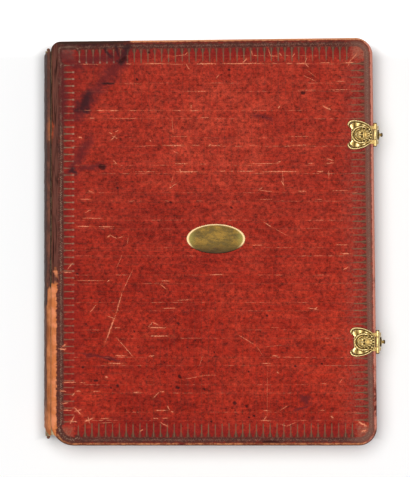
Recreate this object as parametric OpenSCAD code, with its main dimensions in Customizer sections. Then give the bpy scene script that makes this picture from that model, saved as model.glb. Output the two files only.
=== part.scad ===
// Antique leather-covered album with a blind-tooled border, an oval brass plate and two cast clasps.
// It lies shut on its back cover. X runs from the spine to the fore edge, Y from the tail to the head
// and Z up through the thickness. The origin is the centre of the closed book, on the face that it lies on.

/* [Book] */
// Height of the covers along the spine
cover_h = 250; // [200:1:300]
// Width of a cover from its joint to the fore edge, at half height
cover_w = 198.5; // [170:0.5:230]
// Thickness of the closed book over both covers
book_t = 30; // [26:0.5:36]
// How far the rounded spine stands out past the joints
spine_bulge = 4.4; // [3.6:0.1:6]
// How much lower the head edge lies at the joint than at the fore edge
head_fall = 2.4; // [0:0.1:4]
// How much farther out the fore edge lies at the tail than at the head
fore_lean = 3; // [0:0.1:4]

/* [Covers] */
// Thickness of the leather
leather_t = 0.9; // [0.6:0.05:1.2]
// Thickness of the millboard
board_t = 2.8; // [2:0.1:3.5]
// Thickness of the pared turn-ins, and of the paper between them
turnin_t = 0.5; // [0.3:0.05:0.7]
// Width of the turn-ins
turnin_w = 13; // [8:0.5:20]
// Radius of the soft outer edge of a cover
edge_r = 1.4; // [0.8:0.1:1.8]
// Corner radius at the fore edge
fore_corner_r = 9.5; // [4:0.5:14]
// Corner radius at the head, beside the joint
head_joint_r = 5; // [2:0.5:8]
// Corner radius at the tail, beside the joint
tail_joint_r = 12.5; // [4:0.5:16]
// Gap between a cover and the spine at the joint
joint_gap = 0.3; // [0.2:0.05:0.6]

/* [Tooled border] */
// Depth of the tooling
tool_depth = 0.25; // [0.1:0.05:0.4]
// Pitch of the pointed arches
arch_pitch = 4.2; // [3.5:0.1:6]
// Length of an arch
arch_len = 9; // [6:0.5:12]
// Width of an arch's foot
arch_foot_w = 1.9; // [1.2:0.1:2.6]
// Width of an arch's stem
arch_stem_w = 0.7; // [0.5:0.1:1]
// Distance from the edge to the chain band
band_inset = 2; // [1.5:0.1:4]
// Width of the chain band
band_w = 2.4; // [1.5:0.1:4]
// Width of the two lines that bound the band
band_line_w = 0.5; // [0.3:0.1:0.8]
// Extra distance of the border from the joint
joint_inset = 1.6; // [0:0.1:4]

/* [Book block] */
// Distance from the covers' head and tail edges to the leaves, at the joint
square_w = 5.8; // [3:0.1:9]
// Distance from the covers' fore edge to the leaves
fore_square = 5; // [3:0.1:8]
// Clearance between the leaves and each cover
leaf_gap = 0.15; // [0.1:0.05:0.4]
// Depth of the hollow in the fore edge
fore_hollow = 2.6; // [0:0.1:4]
// Thickness of the spine lining
lining_t = 0.6; // [0.4:0.1:1]
// Number of sewing cords let into the folds
cord_count = 5; // [3:1:7]
// Thickness of a sewing cord
cord_t = 1.2; // [0.8:0.1:1.6]
// Distance from the end of the leaves to the first cord
cord_end = 22; // [15:1:35]
// Radius of a headband
headband_r = 0.9; // [0.6:0.1:1.2]
// Squareness of the spine's section: 2 is an ellipse, more is squarer
spine_square = 2.6; // [2:0.1:4]
// Rounding of the spine leather's outer corner at the tail
spine_tail_r = 3.6; // [1:0.1:5]
// Rounding of the spine leather's outer corner at the head
spine_head_r = 2; // [1:0.1:5]

/* [Oval plate] */
// Length of the plate
plate_l = 36; // [28:0.1:45]
// Width of the plate
plate_w = 18.2; // [12:0.1:24]
// Thickness of the plate's rim
plate_rim_t = 0.5; // [0.3:0.1:1]
// Rise of the plate's dome above its rim
plate_dome = 0.9; // [0.4:0.1:2]
// Distance of the plate's centre to the right of the origin
plate_x = 4.1; // [-10:0.1:10]
// Distance of the plate's centre above the origin
plate_y = 1.7; // [-10:0.1:10]
// Radius of the plate's two tangs
tang_r = 0.8; // [0.5:0.1:1.2]

/* [Clasps] */
// Distance from the origin up to the upper clasp
clasp_y_upper = 65.5; // [40:0.5:90]
// Distance from the origin down to the lower clasp
clasp_y_lower = 61.5; // [40:0.5:90]
// Thickness of a casting at its edge
casting_t = 1; // [0.8:0.1:1.4]
// Height of the mask over the casting's ground
mask_rise = 1.6; // [0.8:0.1:2.1]
// Height of the raised oval round the mask
surround_rise = 0.8; // [0.4:0.1:1.2]
// Radius of the hinge barrel
barrel_r = 1.2; // [1.1:0.05:1.5]
// Length of the hinge barrel
barrel_l = 13.6; // [12:0.2:16]
// Length of the hasp's middle knuckle
knuckle_l = 6; // [5:0.2:7]
// Distance from the fore edge out to the hinge axis
axis_out = 1; // [0.8:0.05:1.2]
// Radius of the hinge pin
pin_r = 0.6; // [0.5:0.05:0.7]
// Radial clearance of the hasp on its pin
pin_fit = 0.05; // [0.02:0.01:0.08]
// Side clearance between knuckles
knuckle_gap = 0.15; // [0.1:0.05:0.3]
// Radius of the pin's riveted ends
pin_head_r = 1; // [0.9:0.05:1.2]
// Thickness of the hasp
hasp_t = 1; // [0.8:0.1:1.1]
// Width of the hasp at its shoulders
hasp_w = 11; // [8:0.5:12]
// Width of the hasp at its waist
hasp_waist = 7.4; // [5:0.2:9]
// Height of the hasp's tip above the table
hasp_foot = 1.2; // [0.6:0.1:2]
// Angle at which the hasp hangs off its catch
hasp_rest = 3; // [2.5:0.1:5]
// Height of the window in the hasp
window_h = 3.2; // [2.6:0.1:3.6]
// Width of the window in the hasp
window_w = 6; // [5:0.2:7]
// Metal left between the window and the hasp's tip
tip_margin = 1.3; // [1:0.1:2]
// Radius of the knob's flange
knob_flange_r = 3; // [2:0.1:3.6]
// Length of the knob outside the hasp
knob_l = 3.2; // [3:0.1:5]
// Distance from the hinge axis down to the knob
knob_drop = 9; // [8:0.5:15]
// Radius of the knob's shank
shank_r = 0.8; // [0.5:0.1:1]
// Radius of the fixing pins
rivet_r = 0.6; // [0.4:0.05:0.8]

/* [Hidden] */

leather_color = [0.56, 0.13, 0.09];
spine_color = [0.27, 0.14, 0.11];
brass_color = [0.72, 0.58, 0.28];
dull_brass_color = [0.50, 0.41, 0.18];
dark_brass_color = [0.30, 0.22, 0.10];
paper_color = [0.85, 0.78, 0.62];
board_color = [0.60, 0.50, 0.36];
thread_color = [0.80, 0.72, 0.55];

cover_t = leather_t + board_t + turnin_t;
joint_x = spine_bulge / 2 - cover_w / 2;
spine_x = joint_x - spine_bulge;
fore_x = joint_x + cover_w;
cover_x = joint_x + joint_gap / 2;
block_x = joint_x - joint_gap / 2;
tail_y = -cover_h / 2;
head_y = cover_h / 2;
corner_steps = 9;

// Corners of a cover, anticlockwise from the tail at the joint, and their radii
cover_corners = [
    [cover_x, tail_y], [fore_x + fore_lean / 2, tail_y],
    [fore_x - fore_lean / 2, head_y], [cover_x, head_y - head_fall]
];
cover_radii = [tail_joint_r, fore_corner_r, fore_corner_r, head_joint_r];

function unit(v) = v / norm(v);
function inward(a, b) = let(u = unit(b - a)) [-u.y, u.x];
function cross2(a, b) = a.x * b.y - a.y * b.x;

// The corner at b, moved in from side a-b by d1 and from side b-c by d2
function inset_corner(a, b, c, d1, d2) =
    let(n = inward(a, b), m = inward(b, c))
    b + [d1 * m.y - d2 * n.y, d2 * n.x - d1 * m.x] / cross2(n, m);

// An arc of radius r in the corner at b, after the same insets
function corner_arc(a, b, c, d1, d2, r) =
    let(n = inward(a, b), m = inward(b, c), p = inset_corner(a, b, c, d1, d2),
        centre = p + r * (n + m) / (1 + n * m),
        start = atan2(-n.y, -n.x), turn = acos(min(1, n * m)))
    [for (i = [0:corner_steps])
        centre + r * [cos(start + turn * i / corner_steps), sin(start + turn * i / corner_steps)]];

// Rounded outline of a four-sided sheet, with one inset for each side from the tail round to the joint
function outline(corners, radii, insets) =
    [for (k = [0:3])
        let(d1 = insets[(k + 3) % 4], d2 = insets[k])
        each corner_arc(corners[(k + 3) % 4], corners[k], corners[(k + 1) % 4], d1, d2,
            max(radii[k] - max(d1, d2), 0.05))];
function cover_outline(d) = outline(cover_corners, cover_radii, [d, d, d, d]);

// Fore edge of the covers at height y
function fore_at(y) = fore_x - fore_lean * y / cover_h;

// Closed solid through layers of points, all of one count, from the bottom up
module loft(layers) {
    n = len(layers[0]);
    last = len(layers) - 1;
    walls = [for (k = [0:last - 1], i = [0:n - 1])
        let(j = (i + 1) % n, low = k * n, high = low + n)
        each [[low + i, high + i, high + j], [low + i, high + j, low + j]]];
    bottom = [for (i = [0:n - 1]) i];
    top = [for (i = [n - 1:-1:0]) last * n + i];
    polyhedron([for (layer = layers) each layer], concat([bottom, top], walls));
}

// The same through flat rings, each given as [outline, height]
module stack(rings) {
    loft([for (ring = rings) [for (p = ring[0]) [p.x, p.y, ring[1]]]]);
}

// Round tube through a list of points
module tube(path, r, sides = 8) {
    last = len(path) - 1;
    loft([for (k = [0:last])
        let(d = unit(path[min(k + 1, last)] - path[max(k - 1, 0)]), side = [0, 1, 0], up = cross(d, side))
        [for (i = [0:sides - 1]) path[k] + r * (side * cos(360 * i / sides) + up * sin(360 * i / sides))]]);
}

// A cover as one block with soft edges, its outer face at z = 0
edge_steps = 4;
inner_edge_r = 0.4;
module cover_block() {
    outer = [for (i = [0:edge_steps])
        let(a = 90 * i / edge_steps) [edge_r * (1 - sin(a)), edge_r * (1 - cos(a))]];
    inner = [for (i = [0:2])
        let(a = 45 * i) [inner_edge_r * (1 - cos(a)), cover_t - inner_edge_r * (1 - sin(a))]];
    stack([for (ring = concat(outer, inner)) [cover_outline(ring[0]), ring[1]]]);
}

// The millboard fills the leather, and reaches the joint between the two corners there
module board_sheet(reach = 0) {
    polygon(cover_outline(leather_t));
    translate([cover_x - reach, tail_y + tail_joint_r])
        square([leather_t + 1 + reach, cover_h - head_fall - tail_joint_r - head_joint_r]);
}
module board_solid(reach = 0) {
    translate([0, 0, leather_t]) linear_extrude(board_t) board_sheet(reach);
}
module paper_sheet(reach = 0) {
    polygon(outline(cover_corners, [0, 0, 0, 0], [turnin_w, turnin_w, turnin_w, -reach]));
}
module pastedown_solid(reach = 0, rise = 0) {
    translate([0, 0, leather_t + board_t]) linear_extrude(turnin_t + rise) paper_sheet(reach);
}
module leather_solid() {
    difference() {
        cover_block();
        board_solid(1);
        pastedown_solid(1, 1);
    }
}
module as_front() {
    translate([0, 0, book_t]) mirror([0, 0, 1]) children();
}

// Blind tooling of the front cover: a band between two lines, and a row of pointed arches inside it
tool_corners = [
    cover_corners[0] + [joint_inset, 0], cover_corners[1],
    cover_corners[2], cover_corners[3] + [joint_inset, 0]
];
function tool_outline(d) = outline(tool_corners, cover_radii, [d, d, d, d]);
arch_gap = 0.3;
arch_inset = band_inset + band_w + band_line_w + arch_gap;
module tool_line(d) {
    difference() {
        polygon(tool_outline(d));
        polygon(tool_outline(d + band_line_w));
    }
}
module arch() {
    shoulder = 0.3 * arch_len;
    tip = 0.3 * arch_stem_w;
    polygon([
        [-arch_foot_w / 2, 0], [arch_foot_w / 2, 0], [arch_stem_w / 2, shoulder],
        [tip, arch_len], [-tip, arch_len], [-arch_stem_w / 2, shoulder]
    ]);
}
module arch_rows() {
    for (k = [0:3]) {
        a = tool_corners[k];
        b = tool_corners[(k + 1) % 4];
        u = unit(b - a);
        run = norm(b - a) - 2 * (arch_inset + arch_len);
        count = floor(run / arch_pitch);
        first = (norm(b - a) - count * arch_pitch) / 2;
        for (i = [0:count])
            translate(a + u * (first + i * arch_pitch) + inward(a, b) * arch_inset)
                rotate(atan2(u.y, u.x)) arch();
    }
}
module tooling() {
    translate([0, 0, book_t - tool_depth]) linear_extrude(tool_depth + 1) {
        tool_line(band_inset);
        tool_line(band_inset + band_w);
        arch_rows();
    }
}

// Section of the rounded spine, as points from the back joint round to the front joint
spine_steps = 12;
spine_b = book_t / 2 - joint_gap;
spine_a = block_x - spine_x;
function rounded(t) = sign(t) * pow(abs(t), 2 / spine_square);
function spine_curve(d) =
    [for (i = [-spine_steps:spine_steps])
        let(t = 90 * i / spine_steps)
        [block_x - (spine_a - d) * rounded(cos(t)), book_t / 2 + (spine_b - d) * rounded(sin(t))]];
function backwards(list) = [for (i = [len(list) - 1:-1:0]) list[i]];
module spine_band(d, t) {
    polygon(concat(spine_curve(d), backwards(spine_curve(d + t))));
}
// Stands a section in X and Z along Y, from y0 to y1
module along_y(y0, y1) {
    translate([0, y1, 0]) rotate([90, 0, 0]) linear_extrude(y1 - y0) children();
}

leaf_tail = tail_y + square_w;
leaf_head = head_y - head_fall - square_w;
leaf_fore = fore_x - fore_lean / 2 - fore_square;
leaf_low = cover_t + leaf_gap;
leaf_high = book_t - cover_t - leaf_gap;
block_skin = leather_t + lining_t;
module block_section() {
    hollow = [for (i = [0:8])
        let(t = -1 + i / 4)
        [leaf_fore - fore_hollow * (1 - t * t), book_t / 2 - t * (leaf_high - leaf_low) / 2]];
    polygon(concat(backwards(spine_curve(block_skin)), [[block_x, leaf_low]], backwards(hollow),
        [[block_x, leaf_high]]));
}
cord_pitch = (leaf_head - leaf_tail - 2 * cord_end) / (cord_count - 1);
module cords(extra = 0) {
    for (i = [0:cord_count - 1])
        let(y = leaf_tail + cord_end + i * cord_pitch)
        along_y(y - cord_t / 2 - extra, y + cord_t / 2 + extra) spine_band(block_skin, cord_t);
}
headband_gap = 0.1;
headband_end = 0.4;
module headband(y) {
    d = block_skin + headband_r + headband_gap;
    half = (leaf_high - leaf_low) / 2 - headband_r - headband_end;
    tube([for (p = spine_curve(d)) if (abs(p.y - book_t / 2) < half) [p.x, y, p.y]], headband_r);
}

// Plan of the spine leather, with its worn ends rounded off
module spine_plan() {
    inner_x = block_x + 1;
    corners = [[spine_x, leaf_tail], [inner_x, leaf_tail], [inner_x, leaf_head], [spine_x, leaf_head]];
    polygon(outline(corners, [spine_tail_r, 0, 0, spine_head_r], [0, 0, 0, 0]));
}

// Oval plate
plate_steps = 48;
function oval(s) = [for (i = [0:plate_steps - 1])
    let(a = 360 * i / plate_steps) [plate_x + s * plate_l / 2 * cos(a), plate_y + s * plate_w / 2 * sin(a)]];
tang_inset = 4;
tang_spread = plate_l / 2 - tang_inset;
module tangs(length) {
    for (side = [-1, 1])
        translate([plate_x + side * tang_spread, plate_y, book_t - length])
            cylinder(h = length, r = tang_r, $fn = 32);
}

// Clasp: a casting on the front cover, seen with its crown to the fore edge. u runs out to the fore edge.
barrel_gap = 0.15;
axis_z = book_t - edge_r + sqrt(pow(edge_r + barrel_r + barrel_gap, 2) - pow(edge_r + axis_out, 2));
swing_gap = 0.3;
casting_in = axis_out - barrel_r - swing_gap;
casting_half = [
    [casting_in + 0.05, 0], [casting_in, 2.6], [casting_in - 1, 5], [-4.2, 7.2], [-8.2, 8.7],
    [-12.5, 9.2], [-15.1, 8.3], [-16.1, 6.4], [-14.9, 4.6], [-13.7, 3.2], [-13.9, 0]
];
casting_ring = concat(casting_half,
    [for (i = [len(casting_half) - 2:-1:1]) [casting_half[i].x, -casting_half[i].y]]);
smooth_steps = 3;
function spline(a, b, c, d, t) =
    0.5 * (2 * b + (c - a) * t + (2 * a - 5 * b + 4 * c - d) * t * t + (3 * b - a - 3 * c + d) * t * t * t);
casting_outline = let(n = len(casting_ring)) [for (i = [0:n - 1], s = [0:smooth_steps - 1])
    spline(casting_ring[(i + n - 1) % n], casting_ring[i], casting_ring[(i + 1) % n],
        casting_ring[(i + 2) % n], s / smooth_steps)];
mask_centre = [-7.4, 0];
mask_a = 5.6;
mask_b = 4.9;
mask_edge = 0.88;
rim_rise = 0.5;
function bell(x) = exp(-x * x);
// Height of the casting over the leather: ground, rim, raised oval and the round of the face
function relief(p, s) =
    let(e = norm([(p.x - mask_centre.x) / mask_a, (p.y - mask_centre.y) / mask_b]))
    casting_t + rim_rise * bell((s - 0.93) / 0.06)
    + surround_rise * bell((e - 1) / 0.13)
    + (e < mask_edge ? mask_rise * sqrt(1 - pow(e / mask_edge, 2)) : 0);
relief_rings = [1, 0.93, 0.84, 0.74, 0.64, 0.54, 0.44, 0.34, 0.24, 0.14, 0.05];
module casting() {
    loft(concat([[for (q = casting_outline) [q.x, q.y, 0]]],
        [for (s = relief_rings) [for (q = casting_outline)
            let(p = mask_centre + s * (q - mask_centre)) [p.x, p.y, relief(p, s)]]]));
}
module across(l, r, y = 0) {
    translate([0, y - l / 2, 0]) rotate([-90, 0, 0]) cylinder(h = l, r = r, $fn = 48);
}
// Puts a clasp's piece in place at height y, u and z counted from the fore edge and the leather
module at_clasp(y) {
    translate([fore_at(y), y, book_t]) children();
}
axis_up = axis_z - book_t;
ear_l = (barrel_l - knuckle_l) / 2 - knuckle_gap;
web_reach = 1.2;
web_w = 2.3;
web_t = 0.85;
web_inset = 0.1;
module at_axis() {
    translate([axis_out, 0, axis_up]) children();
}
module clasp_plate() {
    difference() {
        union() {
            casting();
            for (side = [-1, 1]) {
                web_v = side * (barrel_l / 2 - ear_l + web_inset + web_w / 2);
                at_axis() across(ear_l, barrel_r, side * (barrel_l - ear_l) / 2);
                translate([casting_in - web_reach, web_v - web_w / 2, 0])
                    cube([axis_out - casting_in + web_reach, web_w, web_t]);
            }
        }
        at_axis() across(barrel_l + 2, pin_r);
        pin_places() translate([0, 0, -1]) cylinder(h = 5, r = rivet_r, $fn = 32);
    }
}
pin_u = -13.4;
pin_v = 6.9;
pin_proud = 0.4;
pin_head_t = 0.5;
module pin_places() {
    for (side = [-1, 1]) translate([pin_u, side * pin_v, 0]) children();
}
// Pins through the wings of the casting, the leather and the board
module plate_pins() {
    length = leather_t + board_t;
    pin_places() translate([0, 0, -length]) {
        cylinder(h = length + casting_t + pin_proud, r = rivet_r, $fn = 32);
    }
}
module hinge_pin() {
    at_axis() {
        across(barrel_l, pin_r);
        for (side = [-1, 1]) across(pin_head_t, pin_head_r, side * (barrel_l + pin_head_t) / 2);
    }
}

// Hasp, drawn plumb under its axis and then swung out to where it hangs. In its outline the first number
// is across the hasp, and the second runs down from the axis.
shoulder_w = barrel_r + 0.5;
neck_len = shoulder_w + 0.5;
hasp_len = axis_z - hasp_foot;
window_top = hasp_len - tip_margin - window_h;
hasp_in = barrel_r - hasp_t;
module hasp_face() {
    half = [
        [hasp_w / 2 - 0.6, shoulder_w], [hasp_w / 2, shoulder_w + 0.8], [hasp_w / 2, shoulder_w + 3],
        [hasp_waist / 2 + 0.5, shoulder_w + 5.4], [hasp_waist / 2, shoulder_w + 8],
        [hasp_waist / 2, window_top - 5], [hasp_waist / 2 + 0.6, window_top - 3],
        [hasp_w / 2, window_top - 0.6], [hasp_w / 2, window_top + window_h - 1],
        [hasp_w / 2 - 1.4, hasp_len - 0.9], [hasp_w / 2 - 3.2, hasp_len]
    ];
    difference() {
        polygon(concat(half, [for (p = backwards(half)) [-p.x, p.y]]));
        translate([-window_w / 2, window_top]) square([window_w, window_h]);
        translate([0, knob_drop]) circle(r = shank_r, $fn = 32);
    }
}
module hasp() {
    at_axis() rotate([0, -hasp_rest, 0]) difference() {
        union() {
            across(knuckle_l, barrel_r);
            translate([hasp_in, -knuckle_l / 2, -neck_len]) cube([hasp_t, knuckle_l, neck_len]);
            translate([hasp_in, 0, 0]) rotate([0, 90, 0]) rotate(90) mirror([0, 1, 0])
                linear_extrude(hasp_t) hasp_face();
        }
        across(knuckle_l + 2, pin_r + pin_fit);
    }
}
// Turned knob, riveted through the hasp
module knob() {
    flange_t = 0.9;
    neck_r = 0.9;
    tip_r = 1.25;
    flange_z = hasp_t + flange_t;
    tip_z = hasp_t + knob_l;
    at_axis() rotate([0, -hasp_rest, 0]) translate([hasp_in, 0, -knob_drop]) rotate([0, 90, 0])
        rotate_extrude($fn = 48) polygon([
            [0, 0], [shank_r, 0], [shank_r, hasp_t], [knob_flange_r, hasp_t], [knob_flange_r, flange_z],
            [knob_flange_r * 0.6, flange_z + 0.3], [neck_r, flange_z + 0.6], [neck_r, tip_z - 1.3],
            [tip_r, tip_z - 1], [tip_r, tip_z - 0.4], [tip_r * 0.6, tip_z], [0, tip_z]
        ]);
}

// Catch on the back cover: an angle over the board's inner edge, with a lug for the hasp's window
catch_t = 0.6;
catch_w = 9;
catch_leg = 4;
catch_play = 0.3;
catch_gap = 0.05;
catch_out = catch_gap + catch_t;
lean_angle = atan(fore_lean / cover_h);
lug_w = window_w - 1;
lug_z = hasp_foot + tip_margin + window_h / 2;
lug_h = window_h - 1.6;
lug_nose = 0.5;
lug_reach = axis_out + hasp_in + window_top * sin(hasp_rest) - catch_play;
module at_catch(y) {
    translate([fore_at(y), y, 0]) rotate([0, 0, lean_angle]) children();
}
catch_pin_u = -2.4;
catch_pin_v = 2.8;
catch_pin_proud = 0.1;
module catch_pin_places() {
    for (side = [-1, 1]) translate([catch_pin_u, side * catch_pin_v, 0]) children();
}
module catch_plate() {
    difference() {
        union() {
            translate([catch_gap, -catch_w / 2, edge_r]) cube([catch_t, catch_w, cover_t + catch_t - edge_r]);
            translate([-catch_leg, -catch_w / 2, cover_t]) cube([catch_leg + catch_out, catch_w, catch_t]);
            translate([0, lug_w / 2, lug_z]) rotate([90, 0, 0]) linear_extrude(lug_w) polygon([
                [catch_gap, -lug_h / 2], [lug_reach - lug_nose, -lug_h / 2], [lug_reach, -lug_h / 6],
                [lug_reach, lug_h / 6], [lug_reach - lug_nose, lug_h / 2], [catch_gap, lug_h / 2]
            ]);
        }
        catch_pin_places() translate([0, 0, cover_t - 1]) cylinder(h = 3, r = rivet_r, $fn = 32);
    }
}
module catch_pins() {
    length = board_t + turnin_t + catch_t + catch_pin_proud;
    catch_pin_places() translate([0, 0, leather_t]) cylinder(h = length, r = rivet_r, $fn = 32);
}

module back_board() {
    color(board_color) difference() {
        board_solid();
        for (y = [clasp_y_upper, -clasp_y_lower]) at_catch(y) catch_pins();
    }
}
module back_leather() {
    color(leather_color) difference() {
        leather_solid();
        for (y = [clasp_y_upper, -clasp_y_lower]) at_catch(y) catch_pins();
    }
}
module back_pastedown() {
    color(paper_color) pastedown_solid();
}
module catch_upper() {
    color(brass_color) at_catch(clasp_y_upper) catch_plate();
}
module catch_lower() {
    color(brass_color) at_catch(-clasp_y_lower) catch_plate();
}
module catch_pins_upper() {
    color(dark_brass_color) at_catch(clasp_y_upper) catch_pins();
}
module catch_pins_lower() {
    color(dark_brass_color) at_catch(-clasp_y_lower) catch_pins();
}
module book_block() {
    color(paper_color) difference() {
        along_y(leaf_tail, leaf_head) block_section();
        cords();
    }
}
module sewing_cords() {
    color(thread_color) cords();
}
module spine_lining() {
    color(board_color) along_y(leaf_tail, leaf_head) spine_band(leather_t, lining_t);
}
module spine_leather() {
    color(spine_color) intersection() {
        along_y(leaf_tail, leaf_head) spine_band(0, leather_t);
        linear_extrude(book_t) spine_plan();
    }
}
module headband_head() {
    color(thread_color) headband(leaf_head + headband_r);
}
module headband_tail() {
    color(thread_color) headband(leaf_tail - headband_r);
}
module front_board() {
    color(board_color) difference() {
        as_front() board_solid();
        front_holes();
    }
}
// Holes for the tangs of the oval plate and the pins of the clasps
module front_holes() {
    tangs(leather_t + board_t);
    for (y = [clasp_y_upper, -clasp_y_lower]) at_clasp(y) plate_pins();
}
module front_leather() {
    color(leather_color) difference() {
        as_front() leather_solid();
        front_holes();
        tooling();
    }
}
module front_pastedown() {
    color(paper_color) as_front() pastedown_solid();
}
module oval_plate() {
    color(dull_brass_color) {
        tangs(leather_t + board_t);
        stack([for (step = [[1, 0], [1, plate_rim_t], [0.95, plate_rim_t + 0.12], [0.8, 0.40], [0.6, 0.65],
                    [0.4, 0.85], [0.2, 0.96], [0.04, 1]])
            [oval(step[0]), book_t + (step[0] > 0.9 ? step[1] : plate_rim_t + plate_dome * step[1])]]);
    }
}
module clasp_plate_upper() {
    color(brass_color) at_clasp(clasp_y_upper) clasp_plate();
}
module clasp_plate_lower() {
    color(brass_color) at_clasp(-clasp_y_lower) clasp_plate();
}
module plate_pins_upper() {
    color(dark_brass_color) at_clasp(clasp_y_upper) plate_pins();
}
module plate_pins_lower() {
    color(dark_brass_color) at_clasp(-clasp_y_lower) plate_pins();
}
module hinge_pin_upper() {
    color(dark_brass_color) at_clasp(clasp_y_upper) hinge_pin();
}
module hinge_pin_lower() {
    color(dark_brass_color) at_clasp(-clasp_y_lower) hinge_pin();
}
module hasp_upper() {
    color(brass_color) at_clasp(clasp_y_upper) hasp();
}
module hasp_lower() {
    color(brass_color) at_clasp(-clasp_y_lower) hasp();
}
module knob_upper() {
    color(brass_color) at_clasp(clasp_y_upper) knob();
}
module knob_lower() {
    color(brass_color) at_clasp(-clasp_y_lower) knob();
}

back_board();
back_leather();
back_pastedown();
catch_upper();
catch_lower();
catch_pins_upper();
catch_pins_lower();
book_block();
sewing_cords();
spine_lining();
spine_leather();
headband_head();
headband_tail();
front_board();
front_leather();
front_pastedown();
oval_plate();
clasp_plate_upper();
clasp_plate_lower();
plate_pins_upper();
plate_pins_lower();
hinge_pin_upper();
hinge_pin_lower();
hasp_upper();
hasp_lower();
knob_upper();
knob_lower();
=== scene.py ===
"""Looks of an antique leather-covered album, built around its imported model.

Lengths are in millimetres inside the classes and are turned into metres where a mesh is made. The book lies
shut with X from the spine to the fore edge, Y from the tail to the head and Z up.
"""

import logging
import math
from dataclasses import dataclass, field
from enum import Enum
from functools import reduce
from typing import Sequence

import bmesh
import bpy
import numpy as np
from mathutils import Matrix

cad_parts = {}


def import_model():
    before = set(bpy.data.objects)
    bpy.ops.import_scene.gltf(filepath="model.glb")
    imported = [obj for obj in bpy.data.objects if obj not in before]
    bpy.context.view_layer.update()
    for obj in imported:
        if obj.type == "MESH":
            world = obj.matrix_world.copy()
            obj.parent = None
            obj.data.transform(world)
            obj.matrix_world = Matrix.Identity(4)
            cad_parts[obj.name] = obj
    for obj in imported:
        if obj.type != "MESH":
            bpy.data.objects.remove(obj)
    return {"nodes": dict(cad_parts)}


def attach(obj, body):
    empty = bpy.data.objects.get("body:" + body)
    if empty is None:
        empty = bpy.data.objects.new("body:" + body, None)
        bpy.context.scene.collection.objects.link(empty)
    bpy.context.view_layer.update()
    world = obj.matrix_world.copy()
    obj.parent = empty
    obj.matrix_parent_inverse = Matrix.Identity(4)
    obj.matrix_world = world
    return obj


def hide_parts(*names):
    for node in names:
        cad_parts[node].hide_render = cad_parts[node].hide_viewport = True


log = logging.getLogger("album")

MM = 0.001
PICTURE_WIDTH = 410
PICTURE_HEIGHT = 477
PIXEL = 0.6128
ORIGIN_PX = (209.2, 241.62)

Array = np.ndarray
Material = bpy.types.Material
Thing = bpy.types.Object
Socket = bpy.types.NodeSocket
Value = float | Socket
Point = tuple[float, float, float]
Vector = Point | Socket


class Body(Enum):
    """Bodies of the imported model."""

    BACK = "back_cover"
    BLOCK = "book_block"
    FRONT = "front_cover"
    HASP_UPPER = "hasp_upper"
    HASP_LOWER = "hasp_lower"


class Slot(Enum):
    """Finish slots of the record."""

    LEATHER = "leather"
    SPINE = "spine_leather"
    PAPER = "paper"
    THREAD = "thread"
    BRASS = "brass"
    DULL_BRASS = "dull_brass"


JOINT_SIDE = 3
NODES: dict[str, Thing] = {}


def dress(node: str, material: Material) -> None:
    """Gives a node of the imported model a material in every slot."""
    for slot in NODES[node].material_slots:
        slot.material = material


def tint(red: int, green: int, blue: int) -> tuple[float, float, float, float]:
    """Turns a colour as a screen shows it, 0 to 255, into a linear one.

    Args:
        red: Red part.
        green: Green part.
        blue: Blue part.

    Returns:
        The linear colour with full opacity.
    """
    parts = [c / 255 for c in (red, green, blue)]
    linear = [c / 12.92 if c <= 0.04045 else ((c + 0.055) / 1.055) ** 2.4 for c in parts]
    return (linear[0], linear[1], linear[2], 1.0)


def from_picture(x_px: float, y_px: float) -> tuple[float, float]:
    """Turns a place in the picture, in pixels, into X and Y on the cover in millimetres."""
    return ((x_px - ORIGIN_PX[0]) * PIXEL, (ORIGIN_PX[1] - y_px) * PIXEL)


def ripple(x: Array, y: Array, length: float, seed: int, waves: int = 7) -> Array:
    """Smooth uneven surface between about -1 and 1: a sum of sine waves in random directions.

    Args:
        x: First coordinate in millimetres.
        y: Second coordinate in millimetres.
        length: Middle wavelength in millimetres.
        seed: Seed of the random directions and phases.
        waves: Number of waves.

    Returns:
        The height at each place.
    """
    draw = np.random.default_rng(seed)
    angle = draw.uniform(0, 2 * np.pi, waves)
    phase = draw.uniform(0, 2 * np.pi, waves)
    rate = 2 * np.pi / (length * draw.uniform(0.6, 1.7, waves))
    turn = x[..., None] * np.cos(angle) + y[..., None] * np.sin(angle)
    return np.sin(turn * rate + phase).sum(-1) / math.sqrt(waves) * 0.8


def bell(x: Array) -> Array:
    """Bell curve of height 1 and half-width about 1."""
    return np.exp(-np.square(x))


def rise(x: Array, low: float, high: float) -> Array:
    """Smooth step from 0 at low to 1 at high, or the other way round where high is less."""
    t = np.clip((x - low) / (high - low), 0, 1)
    return t * t * (3 - 2 * t)


def ring_faces(rings: int, count: int) -> Array:
    """Four-sided faces between rings of points that close on themselves.

    Args:
        rings: Number of rings.
        count: Points in each ring.

    Returns:
        Point numbers of each face, in rows of four.
    """
    k, i = np.meshgrid(np.arange(rings - 1), np.arange(count), indexing="ij")
    j = (i + 1) % count
    low, high = k * count, (k + 1) * count
    return np.stack([low + i, low + j, high + j, high + i], -1).reshape(-1, 4)


def link(name: str, data: bpy.types.ID) -> Thing:
    """Makes an object of a mesh, lamp or camera and puts it in the scene.

    Args:
        name: Its name.
        data: What it shows.

    Returns:
        The object, at the origin.
    """
    thing = bpy.data.objects.new(name, data)
    bpy.context.scene.collection.objects.link(thing)
    return thing


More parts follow.
